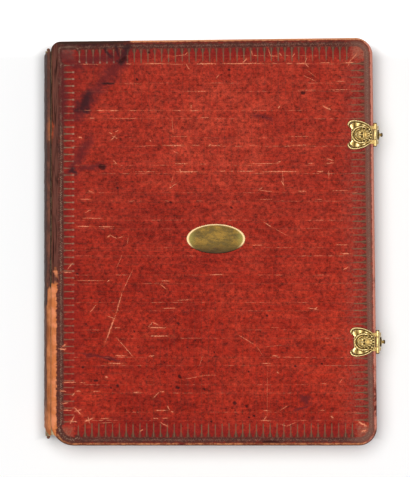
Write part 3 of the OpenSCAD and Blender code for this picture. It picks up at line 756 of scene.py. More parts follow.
@dataclass
class Cover:
    """One leather-covered board, seen with its outer face at height 0 and its inner face below it."""

    name: str
    body: Body
    node: str
    front: bool
    height: float = 250.0
    width: float = 198.5
    book_thickness: float = 30.0
    spine_bulge: float = 4.4
    head_fall: float = 2.4
    fore_lean: float = 3.0
    leather: float = 0.9
    board: float = 2.8
    turn_in: float = 0.5
    turn_in_width: float = 13.0
    edge_radius: float = 1.4
    inner_radius: float = 0.4
    radii: tuple[float, float, float, float] = (14.0, 11.2, 10.6, 6.0)
    joint_reach: float = 0.01
    joint_inset: float = 1.6
    spacing: float = 0.68
    corner_samples: int = 30
    waviness: float = 0.05
    edge_wear: float = 0.07
    paper_sink: float = 0.02
    tooling: Tooling = field(default_factory=Tooling)

    def __post_init__(self) -> None:
        """Works out the corners of the cover and of its border."""
        joint = self.spine_bulge / 2 - self.width / 2
        fore = joint + self.width
        left = joint + self.joint_reach
        self.corners = np.array([
            [left, -self.height / 2], [fore + self.fore_lean / 2, -self.height / 2],
            [fore - self.fore_lean / 2, self.height / 2], [left, self.height / 2 - self.head_fall]])
        inward = np.array([self.joint_inset, 0])
        self.tool_corners = self.corners + np.array([[1], [0], [0], [1]]) * inward
        lengths = np.linalg.norm(np.roll(self.corners, -1, 0) - self.corners, axis=1)
        self.side_samples = np.round(lengths / self.spacing).astype(int)

    @staticmethod
    def inward(a: Array, b: Array) -> Array:
        """Unit vector that points into the cover from the side that runs from a to b."""
        u = (b - a) / np.linalg.norm(b - a)
        return np.array([-u[1], u[0]])

    def ring(self, inset: float) -> Array:
        """One closed ring of plan points at an inset from the edge.

        Each corner is an arc of the corner's radius less the inset, and each side a straight line between two
        arcs. The side at the joint moves in farther, by the joint's own inset.

        Args:
            inset: Distance from the edge.

        Returns:
            Points in the shape (count, 2), anticlockwise from the tail at the joint.
        """
        shifts = np.full(4, float(inset))
        shifts[JOINT_SIDE] += self.joint_inset * min(inset / 2.0, 1.0)
        arcs = []
        for k in range(4):
            here = self.corners[k]
            n = self.inward(self.corners[k - 1], here)
            m = self.inward(here, self.corners[(k + 1) % 4])
            d, e = shifts[k - 1], shifts[k]
            corner = here + np.array([d * m[1] - e * n[1], e * n[0] - d * m[0]]) / (n[0] * m[1] - n[1] * m[0])
            radius = max(self.radii[k] - max(d, e), 0.05)
            centre = corner + radius * (n + m) / (1 + n @ m)
            angle = math.atan2(-n[1], -n[0]) + math.acos(n @ m) * np.linspace(0, 1, self.corner_samples)
            arcs.append(centre + radius * np.stack([np.cos(angle), np.sin(angle)], -1))
        parts = []
        for k in range(4):
            start, end = arcs[k][-1], arcs[(k + 1) % 4][0]
            t = np.arange(1, self.side_samples[k] + 1)[:, None] / (self.side_samples[k] + 1)
            parts += [arcs[k], start + (end - start) * t]
        return np.concatenate(parts)

    def sides(self) -> Array:
        """Side that each point of a ring belongs to, split in the middle of a corner.

        Returns:
            The side's number at each point.
        """
        half = self.corner_samples // 2
        parts = []
        for k in range(4):
            parts += [np.full(half, (k + 3) % 4), np.full(self.corner_samples - half, k),
                      np.full(self.side_samples[k], k)]
        return np.concatenate(parts)

    def border_place(self, plan: Array) -> tuple[Array, Array]:
        """Place of plan points along the rows of arches.

        Args:
            plan: Points in the shape (rings, count, 2).

        Returns:
            The place along the row in pitches, and the distance from its end, in pitches.
        """
        side = self.sides()
        start = self.tool_corners[side]
        run = np.roll(self.tool_corners, -1, 0) - self.tool_corners
        length = np.linalg.norm(run, axis=1)
        tool = self.tooling
        count = np.floor((length - 2 * (tool.arch_start + tool.arch_length)) / tool.pitch)
        first = (length - count * tool.pitch) / 2
        unit = (run / length[:, None])[side]
        along = (np.einsum("rcx,cx->rc", plan - start, unit) - first[side]) / tool.pitch
        return along, np.minimum(along, count[side] - along) + 0.5

    def between_turn_ins(self, y: Array) -> Array:
        """True where the paper reaches the joint, between the turn-ins at tail and head."""
        reach = self.height / 2 - self.turn_in_width + 0.3
        return (y > -reach) & (y < reach - self.head_fall)

    def profile(self) -> Array:
        """Insets and depths of the rings, from the middle of the outer face round to the inside.

        Returns:
            Rows of inset, depth below the outer face, and 1 on the outer face or 0 elsewhere.
        """
        border = [28, 18, 15.4] if not self.front else [
            *range(96, 16, -4), 15.4, 14.4, 13.6, 12.6, 11.6, 10.6, 9.6, 8.6, 7.7, 6.9, 6.2, 5.6, 5.2,
            4.9, 4.65, 4.4, 4.1, 3.6, 3.1, 2.7, 2.45, 2.25, 2.05, 1.8]
        rows = [(inset, 0.0, 1.0) for inset in border]
        radius = self.edge_radius
        for angle in np.radians(np.linspace(0, 90, 7)):
            rows.append((radius * (1 - math.sin(angle)), radius * (1 - math.cos(angle)), 1.0))
        total = self.leather + self.board + self.turn_in
        rows += [(0.0, 0.6 * total, 0.0), (0.0, total - self.inner_radius, 0.0),
                 (0.3 * self.inner_radius, total - 0.3 * self.inner_radius, 0.0),
                 (self.inner_radius, total, 0.0), (4.0, total, 0.0), (8.0, total, 0.0),
                 (self.turn_in_width, total, 0.0), (self.turn_in_width, total - self.turn_in, 0.0),
                 (1.1, total - self.turn_in, 0.0), (1.0, self.leather, 0.0), (20.0, self.leather, 0.0)]
        return np.array(rows)

    def build(self, material: Material) -> Thing:
        """Makes the leather of the cover.

        The skin runs through rings of the outline. A ring has one inset and one depth, and a point's height
        is the ring's, with the tooling and a slight unevenness added on the outer face. Inside, at the joint,
        the leather stays below the paper.

        Args:
            material: Finish of the leather.

        Returns:
            The piece, on its body.
        """
        rows = self.profile()
        plan = np.stack([self.ring(inset) for inset in rows[:, 0]])
        along, room = self.border_place(plan)
        inset = np.broadcast_to(rows[:, :1], along.shape)
        outer = np.broadcast_to(rows[:, 2:3], along.shape)
        depth = np.broadcast_to(rows[:, 1:2], along.shape).copy()
        if self.front:
            depth -= outer * self.tooling.height(along, inset, room)
        x, y = plan[..., 0], plan[..., 1]
        depth += outer * self.waviness * (1 + ripple(x, y, 22, 5)) * rise(inset, 0, 3)
        worn = rise(inset, 2.0, 0.2) * outer
        depth += worn * self.edge_wear * (1 + ripple(x, y, 5, 11))
        papered = (self.sides() == JOINT_SIDE) & (outer == 0) & self.between_turn_ins(y)
        depth = np.where(papered, np.minimum(depth, self.leather + self.board - self.paper_sink), depth)
        height = self.book_thickness - depth if self.front else depth
        layers = np.concatenate([plan, height[..., None]], -1)
        shell = Shell(self.name)
        shell.add_tube(layers, along=along, inset=np.where(outer > 0, inset, -1.0), room=room)
        if self.front:
            self.keep_marks(shell, plan)
        return settle(shell.build(material), self.body, Slot.LEATHER, self.node)

    @staticmethod
    def keep_marks(shell: Shell, plan: Array) -> None:
        """Writes the marks nearest to each face into the shell.

        Args:
            shell: Shell of the front cover, whose faces run ring by ring, with its two flat faces last.
            plan: Plan of its rings, in the shape (rings, count, 2).
        """
        corner = (plan + np.roll(plan, -1, axis=1)) / 2
        centres = ((corner[:-1] + corner[1:]) / 2).reshape(-1, 2)
        centres = np.concatenate([centres, plan[:1].mean(1), plan[-1:].mean(1)])
        for name, (marks, keep) in MARK_SETS.items():
            for k, sides in enumerate(mark_planes(centres, marks, keep)):
                for side, rows in zip("uv", sides):
                    shell.face_vectors[f"{name}_{side}{k}"] = rows


@dataclass(frozen=True)
class GrainedLeather:
    """Finish of the goatskin. The front has its border, scratches and stains, and the back is plain."""

    name: str
    front: bool
    row_pitch_px: float = 27.43
    row_first_px: float = 83.0
    row_gap_px: float = 8.3
    bare_below_px: float = 286.0
    bare_right_px: float = 56.3

    def base(self, f: Finish) -> tuple[Socket, Socket]:
        """Clouded red with fine mottling.

        Args:
            f: Material that gets the nodes.

        Returns:
            The colour and the height of the grain.
        """
        clouds = f.noise(f.place, 0.016, 4, 0.6)
        patches = f.noise(f.stretch(f.place, (1, 1.6, 1), (40, 7, 3)), 0.07, 5, 0.65)
        bands = f.noise(f.stretch(f.place, (0.012, 0.24, 0.1), (3, 1, 0)), 1.0, 2)
        tone = f.sum(f.both(clouds, 0.45), f.sum(f.both(patches, 0.35), f.both(bands, 0.2)))
        colour = f.mix(f.step(tone, 0.38, 0.5), TONES.deep, TONES.middle)
        colour = f.mix(f.step(tone, 0.48, 0.64), colour, TONES.bright)
        fibres = f.noise(f.stretch(f.place, (0.12, 1.4, 1)), 1.0, 2)
        speckle = f.noise(f.place, 0.55, 4, 0.75)
        light = f.sum(f.line(speckle, 0.25, 0.75, 0.1, 1.9), f.line(fibres, 0.3, 0.7, -0.14, 0.14))
        colour = f.mix(1.0, colour, f.join(light, light, light), "MULTIPLY")
        colour = f.mix(f.step(f.split(f.place)[1], 40, -50), colour, (0.95, 0.72, 0.64, 1.0), "MULTIPLY")
        pebble, _ = f.cells(f.noise_vector(f.place, 0.9, 0.5), 0.95)
        grain = f.sum(f.both(pebble, 0.5), f.both(f.noise(f.place, 3.2, 3), 0.4))
        return colour, grain

    def scratch_rows(self, f: Finish, x: Socket, y: Socket) -> Socket:
        """Share of the broken rub lines that cross the cover in pairs at a steady pitch.

        Args:
            f: Material that gets the nodes.
            x: X in millimetres.
            y: Y in millimetres.

        Returns:
            The share, from 0 to 1.
        """
        total: Socket | None = None
        for number, top_px in enumerate((self.row_first_px, self.row_first_px + self.row_gap_px)):
            top = from_picture(0, top_px)[1]
            off = f.math("PINGPONG", f.less(y, top), self.row_pitch_px * PIXEL / 2)
            runs = f.noise(f.join(f.both(x, 0.05), f.both(y, 0.4), 3.0 + number), 1.0, 2)
            dashes = f.noise(f.join(f.both(x, 0.34), f.both(y, 0.9), 9.0 + number), 1.0, 2)
            width = f.both(f.step(runs, 0.44, 0.66), f.step(dashes, 0.4, 0.66), 0.26)
            line = f.step(f.less(off, width), 0.1, -0.14)
            total = line if total is None else f.either(total, line)
        return total

    def border(self, f: Finish, colour: Socket, x: Socket, y: Socket) -> Socket:
        """Darkened band, pointed strokes and petals of the tooled border.

        Args:
            f: Material that gets the nodes.
            colour: Colour of the leather so far.
            x: X in millimetres.
            y: Y in millimetres.

        Returns:
            The colour with the border.
        """
        tool = Tooling()
        along, inset, room = f.value_of("along"), f.value_of("inset"), f.value_of("room")
        rough = f.noise(f.place, 0.35, 4, 0.7)
        fine = f.noise(f.stretch(f.place, (1, 1, 1), (5, 5, 5)), 1.1, 3, 0.7)
        left = f.step(x, -78, -81)
        inward = f.less(inset, f.both(left, f.step(room, 0.0, 0.1), 1.1))
        ragged = f.sum(inward, f.line(rough, 0.2, 0.8, -0.7, 0.7))
        near = f.both(f.step(inset, 0.0, 0.3), f.step(ragged, 20, 13))
        colour = f.mix(f.both(near, f.step(rough, 0.3, 0.62), 0.42), colour, TONES.petal)
        row = f.both(f.step(room, 0.0, 0.1), f.step(inward, 4.9, 5.6))
        aside = f.both(f.math("PINGPONG", f.size(along), 0.5), tool.pitch)
        foot = f.both(f.step(inset, 10.2, 5.2), 1.35)
        length = f.step(f.sum(f.sum(inset, f.line(fine, 0.3, 0.7, -1.2, 1.2)),
                               f.both(left, 1.4)), 14.0, 12.8)
        petal = f.both(f.step(aside, 0.3, 1.3), row, f.step(inset, 13.5, 8.0))
        colour = f.mix(f.both(petal, 0.6), colour, TONES.petal)
        outer = f.sum(ragged, f.both(left, 1.9))
        band = f.both(f.step(outer, 1.3, 2.3), f.step(ragged, 5.7, 4.8))
        shade = f.mix(f.step(fine, 0.46, 0.72, 0.8), TONES.band, TONES.band_pale)
        shade = f.mix(f.step(x, 80, 96, 0.72), shade, TONES.band_pale)
        corner_wear = f.both(f.step(room, 0.2, -0.9), f.step(inset, 0.0, 0.3), f.step(inset, 17, 10))
        head_left = f.both(f.step(x, -60, -70), f.step(y, 0, 20))
        corner_tone = f.mix(head_left, TONES.corner, TONES.corner_dark)
        colour = f.mix(f.both(corner_wear, f.line(fine, 0.36, 0.6, 0.2, 0.85)), colour, corner_tone)
        fore = f.both(f.step(x, 76, 92), f.step(inset, 0.0, 0.3), f.step(fine, 0.4, 0.66))
        colour = f.mix(f.both(fore, 0.3), colour, TONES.fore)
        colour = f.mix(f.both(band, f.line(rough, 0.25, 0.6, 0.75, 0.97)), colour, shade)
        zigzag = f.sum(f.both(f.math("PINGPONG", f.size(f.both(along, 3)), 0.5), 1.9), 3.0)
        chain = f.step(f.size(f.less(inward, zigzag)), 0.36, 0.05)
        chain = f.both(chain, f.line(left, 0, 1, 0.25, 0.6), f.step(fine, 0.36, 0.6))
        colour = f.mix(chain, colour, TONES.stroke_pale)
        strength = f.both(f.line(f.noise(f.place, 0.12, 3), 0.32, 0.6, 0.42, 0.92),
                          f.line(f.both(left, f.step(y, 20, -60)), 0, 1, 1.0, 0.62))
        foot = f.both(f.step(f.less(aside, foot), 0.3, -0.3), row, strength)
        colour = f.mix(foot, colour, TONES.stroke)
        stem = f.both(f.step(aside, 0.6, 0.25), row, length, strength)
        colour = f.mix(f.both(stem, 0.9), colour, TONES.stem)
        corner = f.either(f.both(f.step(x, -80, -86), f.line(y, -60, 60, 0.3, 0.9)),
                          f.both(f.step(y, 105, 112), f.step(x, -48, -56)))
        pale = f.both(f.step(aside, 0.3, 0.06), row, length, f.step(fine, 0.3, 0.5))
        colour = f.mix(f.both(pale, f.line(corner, 0, 1, 0.12, 0.4)), colour, TONES.stroke_pale)
        end = f.size(f.less(inset, f.line(left, 0, 1, 13.2, 12.2)))
        tip = f.both(f.step(aside, 0.75, 0.35), f.step(end, 0.85, 0.35))
        colour = f.mix(f.both(tip, row, corner, 0.85), colour, TONES.stroke_pale)
        return colour

    def edges(self, f: Finish, colour: Socket, x: Socket, y: Socket) -> Socket:
        """Rubbed outer edges, where the dye is worn through to pale leather.

        Args:
            f: Material that gets the nodes.
            colour: Colour of the leather so far.
            x: X in millimetres.
            y: Y in millimetres.

        Returns:
            The colour with the worn edges.
        """
        inset = f.value_of("inset")
        ragged = f.sum(inset, f.line(f.noise(f.place, 0.5, 4, 0.7), 0.2, 0.8, -0.55, 0.55))
        skin = f.step(inset, -0.6, -0.1)
        dark = f.both(f.step(inset, 2.4, 1.2), skin)
        head_left = f.both(f.step(y, 110, 114), f.step(x, -46, -56))
        colour = f.mix(f.both(dark, 0.85), colour, f.mix(head_left, TONES.edge, TONES.edge_dark))
        along_edge = f.noise(f.stretch(f.place, (0.05, 0.05, 0.02), (8, 2, 0)), 1.0, 3, 0.6)
        chips = f.noise(f.stretch(f.place, (1, 1, 1), (1, 9, 4)), 0.7, 3)
        place = f.sum(f.both(along_edge, 0.75), f.both(chips, 0.3))
        tail = f.step(y, -113, -118)
        if self.front:
            head = f.both(f.step(y, 112, 118), f.step(x, -54, -46))
            fore = f.both(f.step(x, 96, 99), f.line(y, -60, 60, 0.35, 0.85))
            more = f.either(f.both(head, 0.24), f.both(fore, 0.2), f.both(tail, 0.09))
            less = f.both(f.step(y, 112, 118), f.step(x, -46, -54), 0.5)
            place = f.less(f.sum(place, more), less)
        ragged = f.less(ragged, f.both(f.either(tail, f.step(x, 96, 99)), 0.45))
        worn = f.both(f.step(place, 0.47, 0.6), f.step(ragged, 1.35, 0.75), skin)
        bare = f.mix(f.step(y, -115, -121), TONES.worn_head, TONES.worn_tail)
        bare = f.mix(f.step(x, 93, 98), bare, TONES.worn_fore)
        broken = f.either(f.line(f.noise(f.place, 0.42, 4, 0.7), 0.42, 0.6, 0.25, 0.95), f.less(1.0, tail))
        colour = f.mix(f.both(worn, broken, 0.92), colour, bare)
        return f.mix(f.both(tail, f.step(inset, 0.75, 0.35), skin, 0.7), colour, TONES.edge_dark)

    def joint_strip(self, f: Finish, colour: Socket, x: Socket, y: Socket) -> Socket:
        """Strip beside the joint: cracked dark leather above, and bare tan leather below.

        Args:
            f: Material that gets the nodes.
            colour: Colour of the leather so far.
            x: X in millimetres.
            y: Y in millimetres.

        Returns:
            The colour with the strip.
        """
        jagged = f.noise(f.stretch(f.place, (0.5, 1, 0)), 0.55, 4, 0.75)
        right = from_picture(self.bare_right_px, 0)[0]
        low = from_picture(0, self.bare_below_px)[1]
        reach = f.sum(x, f.line(jagged, 0.25, 0.75, -1.1, 1.1))
        right = f.line(f.step(y, low - 6, low + 6), 0, 1, right, right + 1.1)
        strip = f.step(f.less(reach, right), 0.35, -0.25)
        crack = f.noise(f.stretch(f.place, (1.2, 0.06, 0)), 1.0, 3)
        upper = f.mix(f.step(crack, 0.46, 0.66), TONES.brown, TONES.crack)
        upper = f.mix(f.both(self.rubbed_spot(f, x, y), 0.7), upper, TONES.scuff)
        fall = f.sum(y, f.line(f.noise(f.place, 0.09, 3), 0.3, 0.7, -14, 14))
        tan = f.mix(f.step(f.noise(f.place, 0.16, 4), 0.4, 0.66), TONES.bare, TONES.bare_bright)
        streak = f.noise(f.stretch(f.place, (1.5, 0.1, 0)), 1.0, 3)
        tan = f.mix(f.step(streak, 0.55, 0.75, 0.5), tan, TONES.brown)
        bare = f.step(fall, low + 3, low - 4)
        colour = f.mix(f.both(strip, 0.97), colour, f.mix(bare, upper, tan))
        sway = f.line(f.noise(f.stretch(f.place, (0, 0.06, 0)), 1.0, 3), 0.3, 0.7, -0.35, 0.35)
        line = f.both(f.step(f.sum(x, sway), -96.3, -96.65), f.line(bare, 0, 1, 0.95, 0.1))
        return f.mix(line, colour, TONES.crack)

    @staticmethod
    def rubbed_spot(f: Finish, x: Socket, y: Socket) -> Socket:
        """Share of the rubbed patch on the upper joint: an upright oval with an uneven rim.

        Args:
            f: Material that gets the nodes.
            x: X in millimetres.
            y: Y in millimetres.

        Returns:
            The share, from 0 to 1.
        """
        centre_x, centre_y = from_picture(50.5, 129.5)
        across = f.math("POWER", f.both(f.less(x, centre_x), 1 / 2.4), 2.0)
        along = f.math("POWER", f.both(f.less(y, centre_y), 1 / 8.5), 2.0)
        uneven = f.line(f.noise(f.place, 0.45, 3), 0.3, 0.7, -0.5, 0.5)
        return f.step(f.sum(f.sum(across, along), uneven), 1.2, -0.2)

    def worn_face(self, f: Finish, colour: Socket, x: Socket, y: Socket) -> Socket:
        """Stains, border, spots and scratches of the outer face.

        Args:
            f: Material that gets the nodes.
            colour: Colour of the leather so far.
            x: X in millimetres.
            y: Y in millimetres.

        Returns:
            The colour with its marks.
        """
        flat = f.vector("MULTIPLY", f.place, (1, 1, 0))
        shaken = f.noise_vector(flat, 0.9, 0.8)
        cloud = f.noise(f.place, 0.3, 4, 0.7)
        spread = f.noise_vector(flat, 0.2, 5.0)
        smear = f.sum(from_nearest(f, spread, "smear"), f.line(cloud, 0.2, 0.8, -0.7, 0.7))
        corner = f.both(f.step(f.less(y, x), 150, 205), f.step(cloud, 0.25, 0.6))
        colour = f.mix(f.both(corner, 0.45), colour, TONES.stain)
        colour = self.border(f, colour, x, y)
        colour = f.mix(f.step(smear, 1.9, 0.1, 0.8), colour, TONES.stain)
        core = f.sum(from_nearest(f, spread, "core"), f.line(cloud, 0.2, 0.8, -0.6, 0.6))
        colour = f.mix(f.step(core, 2.3, 0.2, 0.85), colour, TONES.core)
        dots, chance = f.cells(f.stretch(flat, (1, 1, 1), (3, 3, 0)), 0.085)
        dot = f.both(f.step(dots, 0.044, 0.026), f.step(chance, 0.55, 0.6), f.step(y, 40, -30, 0.9, 0.25))
        blot = f.step(from_nearest(f, shaken, "blot"), 1.3, 0.5)
        colour = f.mix(f.both(f.either(dot, blot), 0.85), colour, TONES.blot)
        breaks = f.noise(f.stretch(flat, (0.9, 1.7, 1)), 1.0, 3, 0.75)
        distance = f.sum(from_nearest(f, shaken, "scratch"), f.line(breaks, 0.25, 0.75, -0.5, 1.0))
        glow = f.both(f.step(distance, 4.5, 0.6), f.step(cloud, 0.4, 0.7), 0.4)
        flecks = f.noise(f.stretch(flat, (0.5, 1.3, 1), (7, 3, 0)), 0.9, 3, 0.7)
        fleck = f.both(f.step(flecks, 0.62, 0.72), f.step(f.noise(flat, 0.05, 2), 0.38, 0.6), 0.6)
        colour = f.mix(glow, colour, TONES.scuff)
        colour = f.mix(fleck, colour, TONES.scuff)
        rows = self.scratch_rows(f, x, f.split(shaken)[1])
        inside = f.step(f.value_of("inset"), 7, 13)
        colour = f.mix(f.both(rows, inside, 0.42), colour, TONES.scratch)
        hit = f.both(f.step(distance, 1.15, 0.35), f.line(f.noise(flat, 0.5, 2), 0.3, 0.6, 0.65, 1.0))
        return f.mix(f.both(hit, 0.94), colour, TONES.scratch)

    def make(self) -> Material:
        """Makes the material.

        Returns:
            The material, with its nodes.
        """
        f = Finish(self.name)
        colour, grain = self.base(f)
        x, y, _ = f.split(f.place)
        if self.front:
            colour = self.worn_face(f, colour, x, y)
        colour = self.edges(f, colour, x, y)
        if self.front:
            colour = self.joint_strip(f, colour, x, y)
        smoothest = 0.5 if self.front else 0.52
        rough = f.line(f.noise(f.place, 0.2, 3), 0.3, 0.7, smoothest, 0.66)
        return f.finish(colour, rough, grain, 0.16, 0.05)


@dataclass
class Spine:
    """Leather over the rounded back, with worn ends."""

    thickness: float = 30.0
    joint_x: float = -97.06
    bulge: float = 4.39
    gap: float = 0.3
    square: float = 2.6
    leather: float = 0.9
    tail: float = -119.2
    head: float = 116.8
    tail_round: float = 5.6
    head_round: float = 2.6
    tail_power: float = 1.6
    head_power: float = 2.4
    around: int = 61
    lengthways: int = 420

    def curve(self, inset: Array | float, t: Array) -> Array:
        """Section of the back: a superellipse, less an inset.

        Args:
            inset: Depth below the leather's outer face.
            t: Place along the section, from -1 at the back joint to 1 at the front joint.

        Returns:
            Points in X and Z.
        """
        def rounded(v: Array) -> Array:
            """Signed power that squares up the ellipse."""
            return np.sign(v) * np.abs(v) ** (2 / self.square)

        angle = t * np.pi / 2
        x = self.joint_x - (self.bulge - inset) * rounded(np.cos(angle))
        z = self.thickness / 2 + (self.thickness / 2 - self.gap - inset) * rounded(np.sin(angle))
        return np.stack([x, z], -1)

    def build(self, material: Material) -> Thing:
        """Makes the spine: the section carried along the book, with rounded and frayed ends.

        A point's Y runs straight between the two ends. An end draws back by its rounding times a power of how
        far out the point lies on the back, and by a ragged noise.

        Args:
            material: Finish of the leather.

        Returns:
            The piece, on its body.
        """
        t = np.linspace(-1, 1, self.around)
        outer = self.curve(0.0, t)
        inner = self.curve(self.leather, t[::-1])
        loop = np.concatenate([outer, inner])
        reach = np.clip((self.joint_x - loop[:, 0]) / self.bulge, 0, 1)
        frayed_head = 0.4 * (1 + ripple(loop[:, 1], loop[:, 0], 4, 21))
        frayed_tail = 0.3 * (1 + ripple(loop[:, 1], loop[:, 0], 4, 22))
        head_end = self.head - self.head_round * reach**self.head_power - frayed_head
        tail_end = self.tail + self.tail_round * reach**self.tail_power + frayed_tail
        share = np.linspace(0, 1, self.lengthways)[:, None]
        y = tail_end + (head_end - tail_end) * share
        skin = np.concatenate([np.ones(self.around), np.zeros(self.around)])
        angle = np.concatenate([t, t[::-1]]) * 60
        wear = 0.12 * ripple(y, np.broadcast_to(angle, y.shape), 16, 3) + 0.06 * ripple(
            y, np.broadcast_to(angle, y.shape), 3, 4)
        middle = np.array([self.joint_x + 8, self.thickness / 2])
        toward = middle - loop
        toward /= np.linalg.norm(toward, axis=1)[:, None]
        depth = skin * (0.18 + wear)
        x = loop[:, 0] + toward[:, 0] * depth
        z = loop[:, 1] + toward[:, 1] * depth
        shell = Shell("spine_cover")
        shell.add_tube(np.stack([x, y, z], -1))
        return settle(shell.build(material), Body.BLOCK, Slot.SPINE, "spine_leather")


@dataclass(frozen=True)
class WornSpineLeather:
    """Finish of the spine: dark cracked leather, bare and tan towards the tail."""

    bare_below: float = -26.0

    def make(self) -> Material:
        """Makes the material.

        Returns:
            The material, with its nodes.
        """
        f = Finish("worn_spine_leather")
        x, y, _ = f.split(f.place)
        streak = f.noise(f.stretch(f.place, (1.1, 0.05, 1.1)), 1.0, 4, 0.65)
        patch = f.noise(f.place, 0.09, 4, 0.65)
        dark = f.mix(f.step(patch, 0.42, 0.62), tint(88, 54, 45), tint(124, 76, 60))
        dark = f.mix(f.step(streak, 0.56, 0.7, 0.7), dark, tint(48, 27, 20))
        scuffed = f.noise(f.stretch(f.place, (1, 0.5, 1), (4, 4, 4)), 0.2, 4, 0.7)
        dark = f.mix(f.step(scuffed, 0.6, 0.7, 0.75), dark, tint(158, 96, 58))
        tan = f.mix(f.step(f.noise(f.place, 0.16, 4), 0.38, 0.66), tint(168, 94, 50), tint(206, 126, 78))
        tan = f.mix(f.step(streak, 0.5, 0.68, 0.7), tan, tint(108, 60, 36))
        fall = f.sum(y, f.line(f.noise(f.place, 0.1, 3), 0.3, 0.7, -16, 16))
        edge = f.step(x, -97.6, -101.0)
        bare = f.step(f.less(fall, f.both(edge, -8)), self.bare_below + 4, self.bare_below - 8)
        colour = f.mix(f.either(bare, f.both(GrainedLeather.rubbed_spot(f, x, y), 0.55)), dark, tan)
        ragged = f.sum(x, f.line(patch, 0.3, 0.7, -0.4, 0.4))
        rim = f.either(f.step(x, -100.9, -101.4), f.both(f.step(ragged, -99.2, -99.9), f.step(y, -112, -96)))
        colour = f.mix(f.both(rim, 0.8), colour, tint(62, 40, 36))
        shut = f.both(f.step(x, -97.75, -97.4), f.line(bare, 0, 1, 0.9, 0.1))
        colour = f.mix(shut, colour, tint(30, 16, 12))
        dot, chance = f.cells(f.place, 0.14)
        spots = f.both(f.step(dot, 0.1, 0.06), f.step(chance, 0.6, 0.65), 0.7)
        colour = f.mix(spots, colour, tint(40, 22, 16))
        crack = f.noise(f.stretch(f.place, (2.2, 0.12, 2.2), (1, 2, 3)), 1.0, 3)
        height = f.sum(f.both(crack, 0.7), f.both(f.noise(f.place, 2.2, 3), 0.4))
        return f.finish(colour, f.line(patch, 0.3, 0.7, 0.5, 0.72), height, 0.3, 0.14)


@dataclass
class Leaves:
    """The sewn leaves, with the fine steps of their edges and the shoulders of the rounded back."""

    spine: Spine
    tail: float = -119.2
    head: float = 116.8
    fore: float = 94.95
    low: float = 4.35
    high: float = 25.65
    hollow: float = 2.6
    skin: float = 1.5
    back_x: float = -97.2
    gatherings: int = 64
    spread: float = 0.16
    notch: float = 0.04
    notch_depth: float = 0.12
    tail_back: float = 4.4
    head_back: float = 2.4

    def back_at(self, z: Array) -> Array:
        """X of the rounded back: the superellipse solved for x.

        Args:
            z: Height in millimetres.

        Returns:
            X at each height.
        """
        half = self.spine.thickness / 2
        b = half - self.spine.gap - self.skin
        a = self.spine.bulge - 0.14 - self.skin
        share = np.clip(np.abs(z - half) / b, 0, 1)
        return self.back_x - a * (1 - share**self.spine.square) ** (1 / self.spine.square)

    def build(self, material: Material) -> Thing:
        """Makes the block: a four-sided outline for each leaf bundle, a little longer or shorter than others.

        Args:
            material: Finish of the paper.

        Returns:
            The piece, on its body.
        """
        draw = np.random.default_rng(8)
        edges = np.linspace(self.low, self.high, self.gatherings + 1)
        bounds = np.stack([edges[:-1], edges[1:]], -1)
        inner = np.repeat(bounds, 2, axis=1)
        inner[:, 1] = inner[:, 0] + self.notch
        inner[:, 2] = inner[:, 3] - self.notch
        z = inner.reshape(-1)
        sunk = np.tile(self.notch_depth * np.array([1.0, 0.0, 0.0, 1.0]), self.gatherings)
        slip = np.repeat(draw.uniform(-1, 1, (self.gatherings, 3)) * self.spread, 4, axis=0)
        mid = (self.low + self.high) / 2
        t = (z - mid) / ((self.high - self.low) / 2)
        right = self.fore - self.hollow * (1 - t**2) - sunk + slip[:, 0] - self.spread
        left = self.back_at(z)
        tail = self.tail + sunk + slip[:, 1] + self.spread
        head = self.head - sunk + slip[:, 2] - self.spread
        left, right, tail, head = (edge[:, None] for edge in (left, right, tail, head))
        across = np.concatenate([[0, 0.012], np.linspace(0.03, 1, 11)])
        worn = np.where(across < 0.001, 1.0, np.where(across < 0.02, 0.2, 0.0))
        up = np.linspace(0, 1, 15)[1:-1]
        low, high = tail + self.tail_back, head - self.head_back
        bottom = np.stack([left + (right - left) * across, tail + self.tail_back * worn], -1)
        top = np.stack([left + (right - left) * across, head - self.head_back * worn], -1)[:, ::-1]
        side = np.stack([np.repeat(right, up.size, 1), tail + (head - tail) * up], -1)
        back = np.stack([np.repeat(left, up.size, 1), high + (low - high) * up], -1)
        plan = np.concatenate([bottom, side, top, back], axis=1)
        height = np.repeat(z[:, None], plan.shape[1], 1)
        shell = Shell("leaves")
        shell.add_tube(np.concatenate([plan, height[..., None]], -1))
        for sign in (-1, 1):
            self.add_shoulder(shell, sign)
        return settle(shell.build(material, 25), Body.BLOCK, Slot.PAPER, "book_block")

    def add_shoulder(self, shell: Shell, sign: int) -> None:
        """Adds the ridge of folded backs above or below the leaves.

        Args:
            shell: Shell that gets the ridge.
            sign: 1 for the upper ridge and -1 for the lower.
        """
        half = self.spine.thickness / 2
        start = (self.high - half) if sign > 0 else (half - self.low)
        z = half + sign * np.linspace(start - 0.2, half - self.spine.gap - self.skin, 9)
        x = self.back_at(z)
        x[-1] = self.back_x - 0.3
        inner = np.array([[self.back_x, z[-1]], [self.back_x, z[0]]])
        section = np.concatenate([np.stack([x, z], -1), inner])
        y = np.linspace(self.tail + 4.0, self.head - 2.2, 9)
        layers = np.stack([
            np.repeat(section[None, :, 0], 9, 0), np.repeat(y[:, None], len(section), 1),
            np.repeat(section[None, :, 1], 9, 0)], -1)
        shell.add_tube(layers)


